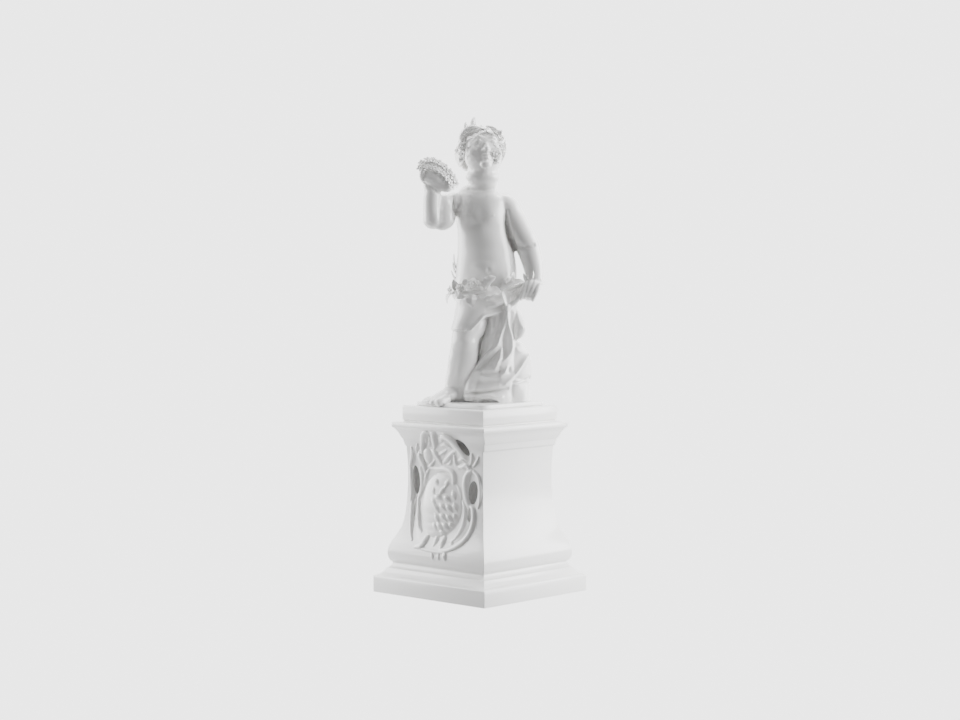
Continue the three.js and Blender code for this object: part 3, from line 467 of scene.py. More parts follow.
skull = to_head(blob((0, 1.6, 1.8), (12, 12.6, 11.6)))
face = to_head(limb([(0, 0, 12, 3), (0, -1, 9.6, 9, 8.4), (0, -1.6, 4, 11, 9.8, 9),
                     (0, -2, -2.4, 11.4, 9.8, 9), (0, -2.4, -8, 10.8, 9.6, 8), (0, -2.8, -12.4, 8.4, 8.4, 6),
                     (0, -3, -15, 5, 6, 4), (0, -3, -16.4, 2, 2.4, 2)], segments=28))
cheeks = [to_head(blob((side * 6, -7.4, -5.2), (4.6, 3.9, 4.8))) for side in (-1, 1)]
throat = blob((1.6, -2.4, 141.2), (11.2, 9, 5))
trunk = [torso, belly, shoulder, skull, face, throat] + cheeks
body = fuse(trunk + [upper_raised, fore_raised, lowered, leg, foot], "child", 0.9, 6)

# Fingers, toes, ears and the parts of a calm child's face, then one finer skin over all of it.
features = [
    limb([(-29.8, -11, 131, 4.8), (-30, -11.2, 136, 5.4, 4.4, 4.4), (-30, -11.2, 140, 4, 3.6, 3.4)]),
    limb([(-36, -11.2, 142, 2, 2, 2), (-33, -11.4, 141.4, 5.4, 4.6, 4), (-28.4, -11.6, 139.8, 6.6, 5.4, 4.2),
          (-23.4, -11.6, 137.4, 6, 5, 4), (-19.6, -11.4, 134.8, 4, 4, 3.4), (-17.4, -11.4, 133.6, 1.6, 2, 2)],
         segments=28),
    limb([(-31, -9, 137, 2), (-34.8, -12.6, 139.4, 2.3), (-36, -14, 143, 2), (-35.4, -14.4, 146, 1)],
         segments=14)]
# Four fingers close over the cloth, slanting down to the left.
features.append(blob((31, -8.2, 69.6), (5.6, 4.8, 6.2)))
for finger in range(4):
    across = 27.4 + finger * 2.5
    drop = (0, 0.7, 0.4, -0.8)[finger]
    features.append(limb([(across + 3, -8, 75.4 + drop, 1.6), (across + 1.8, -12, 74.2 + drop, 1.95),
                          (across, -13.8, 70.2 + drop, 1.85), (across - 1.8, -12.4, 66 + drop, 1.65),
                          (across - 1.6, -9.6, 64 + drop, 0.8)], segments=14))
# Five toes fan out from the foot: place across it, radius and reach.
TOES = [(6.4, 3.1, 4.4), (1.7, 2.2, 4.6), (-2, 2.05, 4.2), (-5.4, 1.9, 3.4), (-8.4, 1.7, 2.6)]
for across, radius, reach in TOES:
    x = -27.4 + across * 0.7
    y = -12.2 - across * 0.7
    features.append(limb([(x + 3.4, y + 2.9, 2.2, radius * 0.8), (x + 0.8, y + 0.7, 1.7, radius * 0.95),
                          (x - reach * 0.5, y - reach * 0.44, 0.5, radius, radius * 0.95),
                          (x - reach, y - reach * 0.88, -0.5, radius * 0.7)], facing=(0, 0, 1), segments=16))
face_parts = [
    limb([(0, -9.9, 1.8, 0.8), (0, -11, -0.4, 1.1), (0, -12.3, -2.8, 1.35), (0, -13.4, -4.7, 1.85),
          (0, -12.6, -5.9, 1.3), (0, -11.4, -6.1, 0.6)], segments=14),
    limb([(-3.5, -10.2, -8.8, 0.25), (-1.7, -11.6, -8.2, 0.8), (0, -12.1, -8.4, 0.85),
          (1.7, -11.6, -8.2, 0.8), (3.5, -10.2, -8.8, 0.25)], segments=12),
    limb([(-3, -10.2, -9.3, 0.25), (-1.5, -11.4, -10, 0.9), (0, -11.8, -10.2, 1),
          (1.5, -11.4, -10, 0.9), (3, -10.2, -9.3, 0.25)], segments=12),
    blob((0, -9.8, -13.4), (3.4, 2.6, 2.4))]
for side in (-1, 1):
    face_parts += [
        blob((side * 4.4, -8.9, -0.2), (2.4, 2.2, 2)),
        limb([(side * 2, -9.7, -0.3, 0.3), (side * 3.2, -10.8, 1, 0.7), (side * 4.8, -10.8, 1.4, 0.8),
              (side * 6.5, -9.4, 0.5, 0.6), (side * 7.2, -8.4, -0.5, 0.3)], segments=10),
        limb([(side * 2.3, -9.9, -0.8, 0.3), (side * 3.6, -10.6, -1.8, 0.5), (side * 5.2, -10.2, -1.8, 0.5),
              (side * 6.8, -8.8, -0.8, 0.3)], segments=10),
        limb([(side * 1.5, -10.7, 3, 0.5), (side * 3.8, -11.2, 4.2, 0.9), (side * 6.2, -9.9, 4, 0.8),
              (side * 8.2, -7.6, 2.4, 0.4)], segments=10),
        blob((side * 1.55, -12.1, -5.2), (1.2, 1.4, 1.05)),
        limb([(side * 11.2, 1, 2.6, 0.6), (side * 12.6, 2, 2.4, 1), (side * 12.9, 2.6, -0.4, 1),
              (side * 12, 1.6, -2.8, 1.1), (side * 11, 0.6, -3.6, 0.7)], segments=10)]
features += [to_head(part) for part in face_parts]
body = fuse([body] + features, "child", 0.55, 2)


def normals_of(piece):
    flat = np.empty(len(piece.data.vertices) * 3)
    piece.data.vertices.foreach_get("normal", flat)
    return flat.reshape(-1, 3)


def press(piece, strokes, edge):
    """Raises ridges and sinks valleys where strokes cross the skin that faces the photograph's viewer."""
    points = points_of(piece)
    normals = normals_of(piece)
    towards = np.clip(-normals[:, 1] * 1.8, 0, 1)
    lift = np.zeros(len(points))
    for stroke in strokes:
        share, rise = stroke_field(points[:, [0, 2]], stroke)
        lift += rise * np.where(rise > 0, np.exp(-1.2 * np.abs(share) ** edge), np.exp(-share ** 2))
    set_points(piece, points + normals * (lift * towards)[:, None])


# The soft forms of a child's body, as seen from the front: rows of across, up, width and rise.
MODELLING = [
    [(-16.4, 129, 0.8, -0.8), (-16.2, 123, 0.9, -2.2), (-15.4, 117, 1, -2.4), (-14.8, 111.6, 0.9, -1.6)],
    [(16.6, 120, 0.9, -0.8), (17.2, 111, 1.2, -2), (19, 103, 1.4, -2.4), (22, 95.6, 1.2, -1.8)],
    [(-12, 115.4, 3.2, -0.1), (-8.4, 111.8, 3.4, -0.35), (-3.6, 110.8, 3.4, -0.35), (0.4, 112.6, 2.6, -0.1)],
    [(2.4, 112.6, 2.6, -0.1), (6.4, 110.6, 3.4, -0.35), (10.6, 111.6, 3.4, -0.3), (13.6, 115, 2.6, -0.1)],
    [(0.6, 125, 3.4, -0.1), (0.8, 118, 3.6, -0.35), (1.4, 111, 3.2, -0.1)],
    [(-6.4, 118, 5.4, 0.55), (-6, 117.6, 5.4, 0.55)],
    [(7.6, 118, 5.4, 0.55), (8, 117.6, 5.4, 0.55)],
    [(-5.8, 117, 0.7, 0.3), (-5.7, 116.8, 0.7, 0.3)],
    [(8.2, 117, 0.7, 0.3), (8.3, 116.8, 0.7, 0.3)],
    [(5.2, 83.2, 1, -0.5), (5.3, 82.4, 1, -0.5)],
    [(-12, 96, 3.6, -0.3), (-4, 97, 4, -0.35), (4, 96.6, 4, -0.35), (12, 96, 3.6, -0.3)],
    [(23.6, 98.4, 1.2, -0.8), (28, 97.2, 1.4, -1.4), (33.8, 98.6, 1.2, -0.9)],
    [(-25.6, 112, 0.8, -0.1), (-25.2, 118, 0.8, -0.5), (-25, 124, 0.8, -0.7), (-24.6, 129, 0.7, -0.4)],
    [(-34.6, 137, 0.8, -0.8), (-29.4, 133.6, 1, -1.2), (-24, 130.6, 0.8, -0.8)],
    [(-16, 37.4, 2, 0.4), (-10, 38.6, 3.4, 0.7), (-4.4, 37.4, 2, 0.4)],
    [(-15.6, 32.4, 1.6, -0.4), (-10, 31.4, 2, -0.5), (-4, 32.4, 1.6, -0.3)],
    [(-21, 9, 1.4, -0.3), (-17, 8.2, 1.6, -0.35), (-13, 9.4, 1.4, -0.2)],
    [(-17.6, 4.6, 2, 0.5), (-17.2, 4.4, 2, 0.5)],
    [(-6.6, 134, 1, -0.7), (1, 133.4, 1.2, -1.2), (8.4, 134, 1, -0.7)],
    [(-6, 129.6, 1.2, 0.3), (-11, 130.2, 1.4, 0.5)],
    [(5, 129.6, 1.2, 0.3), (12, 130.6, 1.4, 0.5)],
]
press(body, MODELLING, edge=2)


def place_sculpture(piece, turn=VIEW_TURN):
    """Turns a finished form from the photograph's frame to the part's, in metres, and sets it down."""
    points = points_of(piece) * FIGURE
    across = points[:, 0] * math.cos(turn) - points[:, 1] * math.sin(turn)
    away = points[:, 0] * math.sin(turn) + points[:, 1] * math.cos(turn)
    set_points(piece, np.column_stack([across, away, points[:, 2] + GROUND]) * MM)
    only(piece)
    bpy.ops.object.shade_smooth()
    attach(piece, "root")
    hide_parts("cherub")


place_sculpture(body)

# Drapery and rock
# A cloth wraps the hips and the near thigh, is gathered in the lowered hand and falls to the ground in front
# of a rock, all modelled in the same clay as the child.
wrap = limb([(2.8, 0.5, 72.4, 19.4, 13.4, 15), (2.6, 0.4, 70, 20.4, 15, 16.4), (1.6, 0, 64, 19.9, 15.4, 16.4),
             (0, -1.6, 58.6, 17.8, 15.4, 15.6), (-3.4, -4.6, 53.4, 13.9, 14, 13.4),
             (-6.6, -7, 48.6, 11.3, 12.4, 11.8), (-8.6, -8.2, 45.4, 9.9, 11, 10.8),
             (-8.8, -8.4, 44.4, 9.4, 10.2, 10.2)], segments=56)
# Its hem rises from the knee to the hip.
points = points_of(wrap)
hem = np.interp(points[:, 0], [-20, -7.6, -4.4, -0.6, 2.8, 8, 16], [45.2, 43.6, 46, 50, 53, 54.6, 56])
set_points(wrap, np.column_stack([points[:, :2], np.maximum(points[:, 2], hem)]))
column = limb([(15.6, 0, 70, 8, 10, 11), (15.4, 0, 58, 9.4, 12, 12.5), (13.6, 0, 50, 10, 12.5, 13),
               (12.6, 0, 43, 10, 12.5, 13.5), (12.3, 0, 36, 10.9, 12.8, 14), (12, 0, 29, 12, 13.2, 14.6),
               (10.8, 0, 22, 14, 14.2, 15.4), (8.6, 0, 13, 16.6, 15.4, 16), (7, 0, 6, 17.4, 16.2, 16.4),
               (7, 0, 2.6, 17.3, 16.4, 16), (7, 0, -1.2, 17, 15.8, 15.6)], segments=64)
near_edge = limb([(8.4, -4.6, 54, 3), (7, -4.8, 46, 4.1), (6, -4.6, 39, 4.3), (5.5, -4.6, 32.5, 4.3),
                  (3.9, -5.6, 26.5, 4.3), (0.4, -8, 20, 4.4), (-3.4, -8.8, 13, 4.6), (-5.6, -9.6, 6, 4.6),
                  (-5.8, -9.6, 0, 4)], segments=28)


def back_folds(along, angle):
    return 0.06 * np.sin(angle * 4 + along * 2) + 0.03 * np.sin(angle * 9 - along * 3)


def rough(along, angle):
    return 0.035 * np.sin(angle * 3 + along * 9) + 0.025 * np.sin(angle * 7 - along * 14)


behind = limb([(3, 6, 71, 16.6, 6, 9.6), (2.6, 6, 56, 16.4, 6, 10), (2.4, 6, 40, 16, 6, 9.6),
               (2.6, 6, 20, 16.6, 6, 10.6), (3, 6, 1, 17.4, 6, 11.6), (3, 6, -1.2, 17, 6, 11)], segments=48,
              ripple=back_folds)
rock = limb([(21, -1.6, -1.2, 12, 8.4, 12), (21, -1.6, 5, 11.9, 8.4, 12), (21, -1.6, 10.8, 11.8, 8.2, 11.6),
             (21, -1.2, 13, 11.4, 6.8, 11), (21, -1.2, 16, 12.4, 7.6, 11), (21.2, -1, 24, 12.2, 7.4, 10.6),
             (21.4, -0.6, 31, 11.4, 6.8, 10), (22.2, 0, 34.6, 9.6, 6, 8), (23, 0.6, 37, 7, 4.6, 6),
             (23.4, 0.8, 38.2, 3, 2.4, 2)], facing=(0.5, -0.87, 0), segments=44, ripple=rough)
flap = limb([(20.8, -4, 66, 3, 2), (21.2, -4.6, 58, 4, 2.8), (22.9, -5, 50.4, 5.4, 3),
             (23.9, -5.2, 46.4, 5.2, 2.8), (23.4, -5.2, 42.4, 3.8, 2.4), (21.2, -5, 38.4, 1, 1)], segments=28)
knot = blob((17.6, -12, 60.4), (2.6, 2.8, 2.6))
tie = limb([(16.6, -12.4, 59.4, 1.4), (19.6, -12.8, 61.4, 1.6), (23, -12.4, 64, 1.7), (25.4, -11.4, 69, 1.9),
            (28, -9.6, 74.6, 1.4)])
gather = limb([(15, -5, 63, 3.4), (20.6, -5, 67.4, 3, 2.4), (26, -4.6, 72.4, 2)])
pool = blob((-5.4, 6.4, 0), (9.4, 9.6, 3.2))
cloth = [wrap, column, near_edge, behind, flap, knot, tie, gather, pool]
drapery = fuse(cloth + [rock], "drapery", 0.5, 4)

# Folds as seen from the front: rows of across, up, width and rise. Valleys have a negative rise.
FOLDS = [
    [(17.2, 59.4, 1.1, 1.2), (15.4, 49, 1.3, 1.9), (12.8, 41.4, 1.4, 2.2), (10.6, 35.4, 1.4, 2.2),
     (6.4, 31.2, 1.4, 2), (3, 27.6, 1.4, 1.7), (0, 24.2, 1.3, 1), (-2.4, 21.6, 1, 0.5)],
    [(17.4, 58, 1, 0.9), (17.4, 49, 1.2, 1.7), (18.8, 42.6, 1.3, 2), (19.4, 36.6, 1.3, 2), (19, 32, 1.3, 1.8),
     (17.2, 28.6, 1.2, 1.3), (15, 26.6, 0.9, 0.6)],
    [(16.2, 52, 0.8, -0.6), (14.8, 44, 1.4, -1.4), (14.8, 37, 1.6, -1.7), (15, 31.4, 1.4, -1.4),
     (14.6, 28, 1, -0.8)],
    [(12.4, 33.4, 1.2, -1.2), (9, 29.6, 1.5, -1.6), (4.4, 25.4, 1.5, -1.4), (0.4, 21.6, 1.4, -1.2),
     (-3.4, 19.4, 1, -0.7)],
    [(12.6, 28, 1, 0.8), (11, 24.6, 1.4, 1.4), (9.4, 20.6, 1.1, 0.9)],
    [(17, 22, 1.1, 0.7), (15.4, 19, 1.4, 1.2), (13, 16.8, 0.9, 0.6)],
    [(12.4, 21.6, 0.9, -0.8), (12.6, 19.6, 1, -1)],
    [(18.6, 21.4, 0.9, -0.9), (18.4, 19.6, 1, -1)],
    [(1, 18.6, 1, -0.4), (7, 18.2, 1.2, -0.7), (12.6, 19.4, 1, -0.7)],
    [(0, 16.4, 1.8, 0.4), (7, 15.6, 2.2, 0.6), (13, 15.4, 1.8, 0.4)],
    [(9.6, 53, 1, -1), (8.8, 48, 1.3, -1.2), (7.6, 43.4, 1, -0.7)],
    [(5.6, 50, 0.9, -0.5), (5.6, 46, 1, -0.9), (4.6, 42.4, 0.9, -0.5)],
    [(12.4, 53, 1, 0.5), (11, 46, 1.4, 0.8), (8.8, 39, 1.2, 0.5)],
    [(8.6, 38, 1, -0.4), (6.8, 34.6, 1.2, -0.6), (3.6, 31.4, 1, -0.4)],
    [(-11, 6, 0.9, -1.2), (-4, 6, 1, -2.2), (4, 6.8, 1, -2.4), (11, 7.8, 1, -2.2), (17.4, 8.8, 0.8, -1)],
    [(-4, 13, 3.4, -1), (3, 12.6, 4, -1.4), (10, 13.4, 3.6, -1.2)],
    [(-4, 19, 1, 0.6), (2, 19.6, 1.2, 1), (8, 21, 1, 0.6)],
    [(-6, 8, 1.2, 0.4), (4, 9.6, 1.4, 0.7), (12, 10.6, 1.4, 0.7)],
    [(-10.6, 3.6, 1, 0.7), (-4, 3.7, 1.1, 1.2), (2, 4.2, 1.1, 1.3), (6, 4.8, 1.1, 1.3), (9, 3.6, 1, 1),
     (14, 3.4, 0.9, 0.7)],
    [(31.4, 30, 1.1, 0.8), (28, 26.2, 1.4, 1.7), (24, 20.4, 1.5, 2), (20, 15.8, 1.5, 1.7),
     (16, 12, 1.2, 0.8)],
    [(20.6, 12.4, 0.8, -0.7), (25.4, 12.6, 0.9, -1.1), (31.4, 14.6, 0.8, -0.8)],
    [(22, 35, 1.6, 0.4), (25, 31.6, 2, 0.5), (29, 32.6, 1.4, 0.3)],
    [(19.6, 56, 1.2, -0.8), (19.8, 49, 1.5, -1.2), (21, 44, 1.3, -0.8), (21.4, 40, 1, -0.5)],
    [(22.6, 60, 1.2, 0.5), (24, 52, 1.4, 0.7), (26.6, 47, 1.2, 0.6)],
    [(-15.4, 46.2, 0.9, 0.6), (-11, 45.8, 1, 0.9), (-7.6, 44.8, 1, 1), (-4.4, 47.4, 1, 1.1),
     (-0.6, 51.2, 1, 1.2), (2.8, 54.8, 1, 1.2), (8, 56, 1, 1.2), (13, 57.4, 1, 1.2), (17.4, 60.4, 1, 0.9)],
    [(4, 57.8, 0.9, -0.6), (9, 58.4, 1, -1), (14.4, 60.4, 0.9, -0.9)],
    [(5, 60.6, 1.3, 0.6), (11, 61.6, 1.4, 1), (16, 63.2, 1, 0.8)],
    [(5.6, 64.2, 1.2, -1), (10, 65, 1.4, -1.6), (14, 66.2, 1, -1)],
    [(-18, 61.4, 1.8, 0.8), (-13, 63.4, 2.2, 1.2), (-7, 65, 2.2, 1.3), (-2, 66.4, 1.8, 0.9)],
    [(16.8, 66, 1.2, -0.8), (20.6, 67, 1.6, -1.8), (23, 69, 1.2, -1)],
]
press(drapery, FOLDS, edge=1.5)
# The cloth stands clear of the ground in the middle of its front.
carve(drapery, blob((4.4, -18, 0), (8.4, 6.4, 2.7)))
place_sculpture(drapery)

# Hair
# The hair is parted at the crown and drawn down in soft locks to the ears and the nape.
locks = [blob((0, 2.4, 3.4), (13, 13.4, 12.2))]
for side in (-1, 1):
    for lock in range(9):
        start = -8 + lock * 2.2
        locks.append(limb([(side * 0.6, start * 0.9, 15 - abs(start + 1) * 0.24, 0.8),
                           (side * 6.2, start * 1.0 + 0.6, 13.6 - abs(start) * 0.26, 1.9, 1.3),
                           (side * 11.4, start * 0.9 + 2.4, 8.4 - abs(start) * 0.1, 2.1, 1.4),
                           (side * 13.2, start * 0.8 + 3.6, 2.2, 2, 1.5), (side * 12.4, start * 0.7 + 4.4, -3,
                                                                           1.3, 1.1),
                           (side * 11, start * 0.62 + 5, -6.4, 0.5)], facing=(side, 0, 0.6), segments=12))
for lock in range(9):
    across = -10 + lock * 2.5
    locks.append(limb([(across * 0.3, 6, 14.8, 0.8), (across * 0.7, 12, 10.8, 2, 1.3),
                       (across * 0.95, 15, 3.6, 2.1, 1.4), (across * 0.9, 13.4, -4, 1.9, 1.3),
                       (across * 0.76, 10, -9, 0.8)], facing=(0, 1, 0.2), segments=12))
# The thick hair over the near temple is combed across from the crown and rolls under the wreath.
quiff = [blob((-5.4, 2.6, 165.4), (6.4, 7, 6))]
for lock in range(7):
    back = lock * 1.9
    low = abs(lock - 2) * 0.5
    quiff.append(limb([(0.6, -3.4 + back, 173.2 - low, 0.8), (-4.4, -4.6 + back * 1.1, 173.4 - low, 1.7, 1.4),
                       (-9, -4.2 + back * 1.1, 171.4 - low, 1.9, 1.5), (-11.8, -3 + back, 167.6 - low, 1.8,
                                                                        1.5), (-12.4, -1.6 + back, 163 - low,
                                                                               0.9)],
                      facing=(-0.5, -0.3, 0.8), segments=14))
hair = fuse([to_head(lock) for lock in locks] + quiff, "hair", 0.46, 1)
place_sculpture(hair)

# Ground
# A thin slab of the same porcelain joins foot, cloth and rock, and stands on the pedestal's cap.
SLAB_HALF = 30.5
SLAB_SQUARENESS = 9
SLAB_SEAT = GROUND - SLAB_THICKNESS - PEDESTAL_TOP
SEAT_SHARE = 0.9
SLAB_ARRIS = 0.22
SLAB_CREASE = math.radians(40)
bpy.ops.object.select_all(action="DESELECT")
bpy.ops.mesh.primitive_cylinder_add(vertices=160, radius=1, depth=1, end_fill_type="TRIFAN")
ground = bpy.context.object
ground.name = "ground_slab"
apply_modifier(ground, "BEVEL", width=SLAB_ARRIS, segments=4, limit_method="ANGLE",
               angle_limit=math.radians(50))
disc = points_of(ground)
around = np.arctan2(disc[:, 1], disc[:, 0])
corner = np.abs(np.cos(around)) ** SLAB_SQUARENESS + np.abs(np.sin(around)) ** SLAB_SQUARENESS
out = np.hypot(disc[:, 0], disc[:, 1])
inset = (out - 1) * SLAB_THICKNESS
spread = (SLAB_HALF * corner ** (-1 / SLAB_SQUARENESS) + inset) * np.minimum(out * 3, 1)
height = (disc[:, 2] - 0.5) * SLAB_THICKNESS - np.where(disc[:, 2] > 0, 0, SLAB_SEAT * SEAT_SHARE)
set_points(ground, np.column_stack([np.cos(around) * spread, np.sin(around) * spread, height]))
place_sculpture(ground, turn=0.0)
only(ground)
bpy.ops.object.shade_smooth_by_angle(angle=SLAB_CREASE)

# Flowers
# Leaves and roses are made by hand from thin clay and luted on: the wreath, the garland and the bouquet.
flowers = []


def leaf(start, end, width, facing=(0, -1, 0), bow=1.2, curl=0.6, cup=0.5, ruffle=0.0, teeth=0, blunt=1.0):
    """A leaf of thin clay from stalk to tip, with a groove for a midrib and a raised or ruffled edge."""
    start, end, facing = (np.array(row, float) for row in (start, end, facing))
    piece = sphere(28, 22)
    along, angle, pole = round_places(piece)
    across = np.where(pole, 0, np.sin(angle))
    skin = np.where(pole, 0, np.cos(angle))
    length = np.linalg.norm(end - start)
    way = (end - start) / length
    front = facing - way * (way @ facing)
    front /= np.linalg.norm(front)
    side = np.cross(way, front)
    half = width / 2 * np.sin(np.pi * along ** 0.8) ** (0.85 / blunt)
    half = half * (1 + 0.16 * np.abs(across) * np.abs(np.sin(teeth * np.pi * along))) + 0.22 * (1 - along)
    rise = bow * np.sin(np.pi * along) - curl * along ** 3 + cup * across ** 2 * half / 2
    rise = rise + ruffle * across ** 2 * np.sin(along * 19 + across * 1.6)
    rise = rise - 0.3 * np.exp(-(across / 0.16) ** 2) * np.sin(np.pi * along)
    thick = 0.34 * skin * np.minimum(1, 0.4 + 2 * np.sin(np.pi * along))
    set_points(piece, start + way * (along * length)[:, None] + side * (across * half)[:, None]
               + front * (rise + thick)[:, None])
    flowers.append(piece)


def petal(centre, frame, start, width, inner, outer, height, roll):
    """A petal that wraps round the flower's axis and opens outwards, its rim rolled over."""
    across, other, axis = frame
    piece = sphere(18, 14)
    along, angle, pole = round_places(piece)
    reach = inner + (outer - inner) * along ** 1.2
    half = width * np.sin(np.pi * np.clip(along * 0.86 + 0.1, 0, 1)) ** 0.6
    turn = start + np.where(pole, 0, np.sin(angle)) * half / (reach + 0.4 * outer)
    up = height * np.sin(along * math.pi / 2) - roll * along ** 4
    out = reach + np.where(pole, 0, np.cos(angle)) * 0.3
    set_points(piece, centre + axis * up[:, None] + across * (np.cos(turn) * out)[:, None]
               + other * (np.sin(turn) * out)[:, None])
    flowers.append(piece)


def flower_frame(facing):
    axis = np.array(facing, float) / np.linalg.norm(facing)
    across = np.cross(axis, (0.3, 0.2, 1))
    across /= np.linalg.norm(across)
    return across, np.cross(axis, across), axis


# The three rings of a rose: how many petals, and by radius their width, two reaches, height and roll.
ROSE_RINGS = [(5, 0.72, 0.42, 1.02, 0.3, 0.14), (4, 0.62, 0.36, 0.74, 0.52, 0.1),
              (3, 0.44, 0.22, 0.44, 0.66, 0.02)]


def rose(centre, radius, facing, turn=0.0):
    centre = np.array(centre, float)
    frame = flower_frame(facing)
    flowers.append(blob(centre + frame[2] * radius * 0.25, (radius * 0.3, radius * 0.3, radius * 0.34)))
    flowers.append(blob(centre - frame[2] * radius * 0.2, (radius * 0.6, radius * 0.6, radius * 0.5)))
    for count, *ring in ROSE_RINGS:
        for index in range(count):
            start = turn + (index + 0.4 * count) / count * math.tau
            petal(centre - frame[2] * radius * 0.1, frame, start, *(share * radius for share in ring))


BLOSSOM_PETAL = (0.62, 0.1, 1, 0.42, 0.16)


def blossom(centre, radius, facing, turn=0.0):
    """A small open flower with five petals round a button."""
    centre = np.array(centre, float)
    frame = flower_frame(facing)
    flowers.append(blob(centre + frame[2] * radius * 0.2, (radius * 0.3,) * 3))
    for index in range(5):
        petal(centre, frame, turn + index / 5 * math.tau, *(share * radius for share in BLOSSOM_PETAL))


# The garland across the hips.
rose((-4.8, -17.8, 73.6), 4.9, (-0.4, -0.75, 0.55))
rose((-12.6, -14.4, 72), 3.9, (-0.65, -0.6, 0.45), 0.7)
blossom((-18, -9.8, 70.4), 3, (-0.7, -0.7, 0.1))
flowers.append(limb([(-19, -8.8, 68.6, 1.2), (-13, -12.8, 68.6, 1.3), (-6, -15.8, 68.4, 1.3),
                     (1, -16.8, 68.6, 1.3), (8, -15.8, 69.4, 1.3), (15, -13, 70.6, 1.3), (22, -11, 72, 1.3),
                     (29, -10, 75, 1.3)]))
leaf((-17.8, -10, 68.4), (-21, -8.8, 62), 4.4, facing=(-0.75, -0.45, 0.5), teeth=4)
leaf((-14, -13, 69), (-17, -12, 77.4), 4.4, bow=0.6)
leaf((-16, -13.6, 67.4), (-8.6, -17, 65.8), 3.8, ruffle=0.3)
leaf((-8.6, -16.6, 77.6), (-10, -14, 73), 3.4)
leaf((-4.8, -18.2, 67.8), (-4.6, -20, 60.2), 6.8, facing=(-0.4, -0.8, 0.5), ruffle=0.25, teeth=6, blunt=1.2)
leaf((2.4, -17, 71.4), (9.4, -18, 79), 6.4, facing=(-0.25, -0.85, 0.45), ruffle=0.3, cup=1.2, blunt=1.8)
leaf((-1.2, -18, 66.2), (13.6, -17.6, 69.6), 9, facing=(0.05, -0.62, 0.78), ruffle=0.7, cup=0.8, teeth=5,
     blunt=1.6)
leaf((12.6, -16, 70.4), (28.4, -14, 76.2), 8, facing=(-0.1, -0.5, 0.8), ruffle=0.35, cup=0.8, blunt=1.2)
leaf((16, -14, 73), (21.6, -13.4, 82), 4.6, facing=(0.5, -0.8, 0.2), ruffle=0.3)
leaf((14.4, -16.2, 70), (17, -17, 60.6), 5.6, facing=(0.45, -0.85, 0.25), cup=0.9, blunt=1.3)
leaf((34, -11, 74.6), (40.4, -9.6, 74.4), 5, facing=(0.2, -0.7, 0.6), cup=0.9, blunt=1.4)
leaf((33.2, -9.6, 75), (33.4, -10, 84.4), 3.4, facing=(0.6, -0.7, 0))
leaf((30, -10.4, 75), (27, -10, 81), 2.6)
for slim in range(3):
    leaf((-13.6 - slim * 0.6, 0, 75 + slim * 4), (-18.6 + slim * 0.8, 0.6, 82.4 + slim * 5.4), 2.2,
         facing=(-0.9, -0.2, 0.4), bow=0.4)

# The bouquet in the raised hand.
flowers.append(limb([(-37, -11.4, 147, 1.6), (-33, -11.4, 148.4, 3.2), (-27, -11.4, 147.4, 3.4),
                     (-21.4, -11.4, 142.6, 3.4), (-17.4, -11.4, 138, 2.8), (-16.6, -11.4, 134.6, 1.6)]))
inner_row = [(-33.2, 147), (-30.6, 146.8), (-27.8, 146.2), (-25, 144.6), (-22.6, 142.4), (-20.4, 139.8),
             (-18.6, 137.2), (-17.4, 134.6)]
outer_row = [(-37, 146.4), (-36, 149.4), (-32.8, 151.2), (-29.2, 151), (-25.8, 149.6), (-22.4, 147.2),
             (-19.4, 144), (-17, 140.6), (-15.4, 137)]
for row, depth, radius in [(inner_row, -15.6, 2.1), (outer_row, -12.6, 2.7)]:
    for x, z in row:
        blossom((x, depth, z), radius, ((x + 29) * 0.07 + 0.2, -1, (z - 138) * 0.08), x)
for x, z in outer_row[1::2]:
    leaf((x + 0.6, -10.6, z - 1.6), (x * 1.04, -10.4, z + 2.6), 3, facing=(-0.5, -0.8, 0.3), bow=0.4)
leaf((-34.6, -12, 140), (-37.8, -12.4, 149.6), 3.4, bow=0.3)
leaf((-29, -10, 146), (-31.4, -10, 153.4), 3, bow=0.3)

# The wreath rings the head over the hair.
WREATH_LEAVES = 20


def wreath_at(angle, out=0.0):
    return on_head([math.sin(angle) * (12.4 + out), -math.cos(angle) * (11.6 + out) + 0.4,
                    5.4 + math.cos(angle) * 2.2 - 2.4 * math.sin(angle) + out * 0.5])


for index in range(WREATH_LEAVES):
    angle = (index + 0.5) / WREATH_LEAVES * math.tau
    side = 1 if angle < math.pi else -1
    out = wreath_at(angle, 1) - HEAD_AT
    tip = wreath_at(angle - side * 0.46, 0.9 + 0.5 * (index % 2)) + [0, 0, 1.2 - 2.4 * (index % 2)]
    leaf(wreath_at(angle, -0.4), tip, 3.4, facing=out / np.linalg.norm(out) + [0, 0, 0.7], bow=0.7, curl=0.2)
flowers.append(limb([tuple(wreath_at(index / 16 * math.tau + 0.05)) + (1.2,) for index in range(16)]
                    + [tuple(wreath_at(0.05)) + (1.2,)], rings=80))
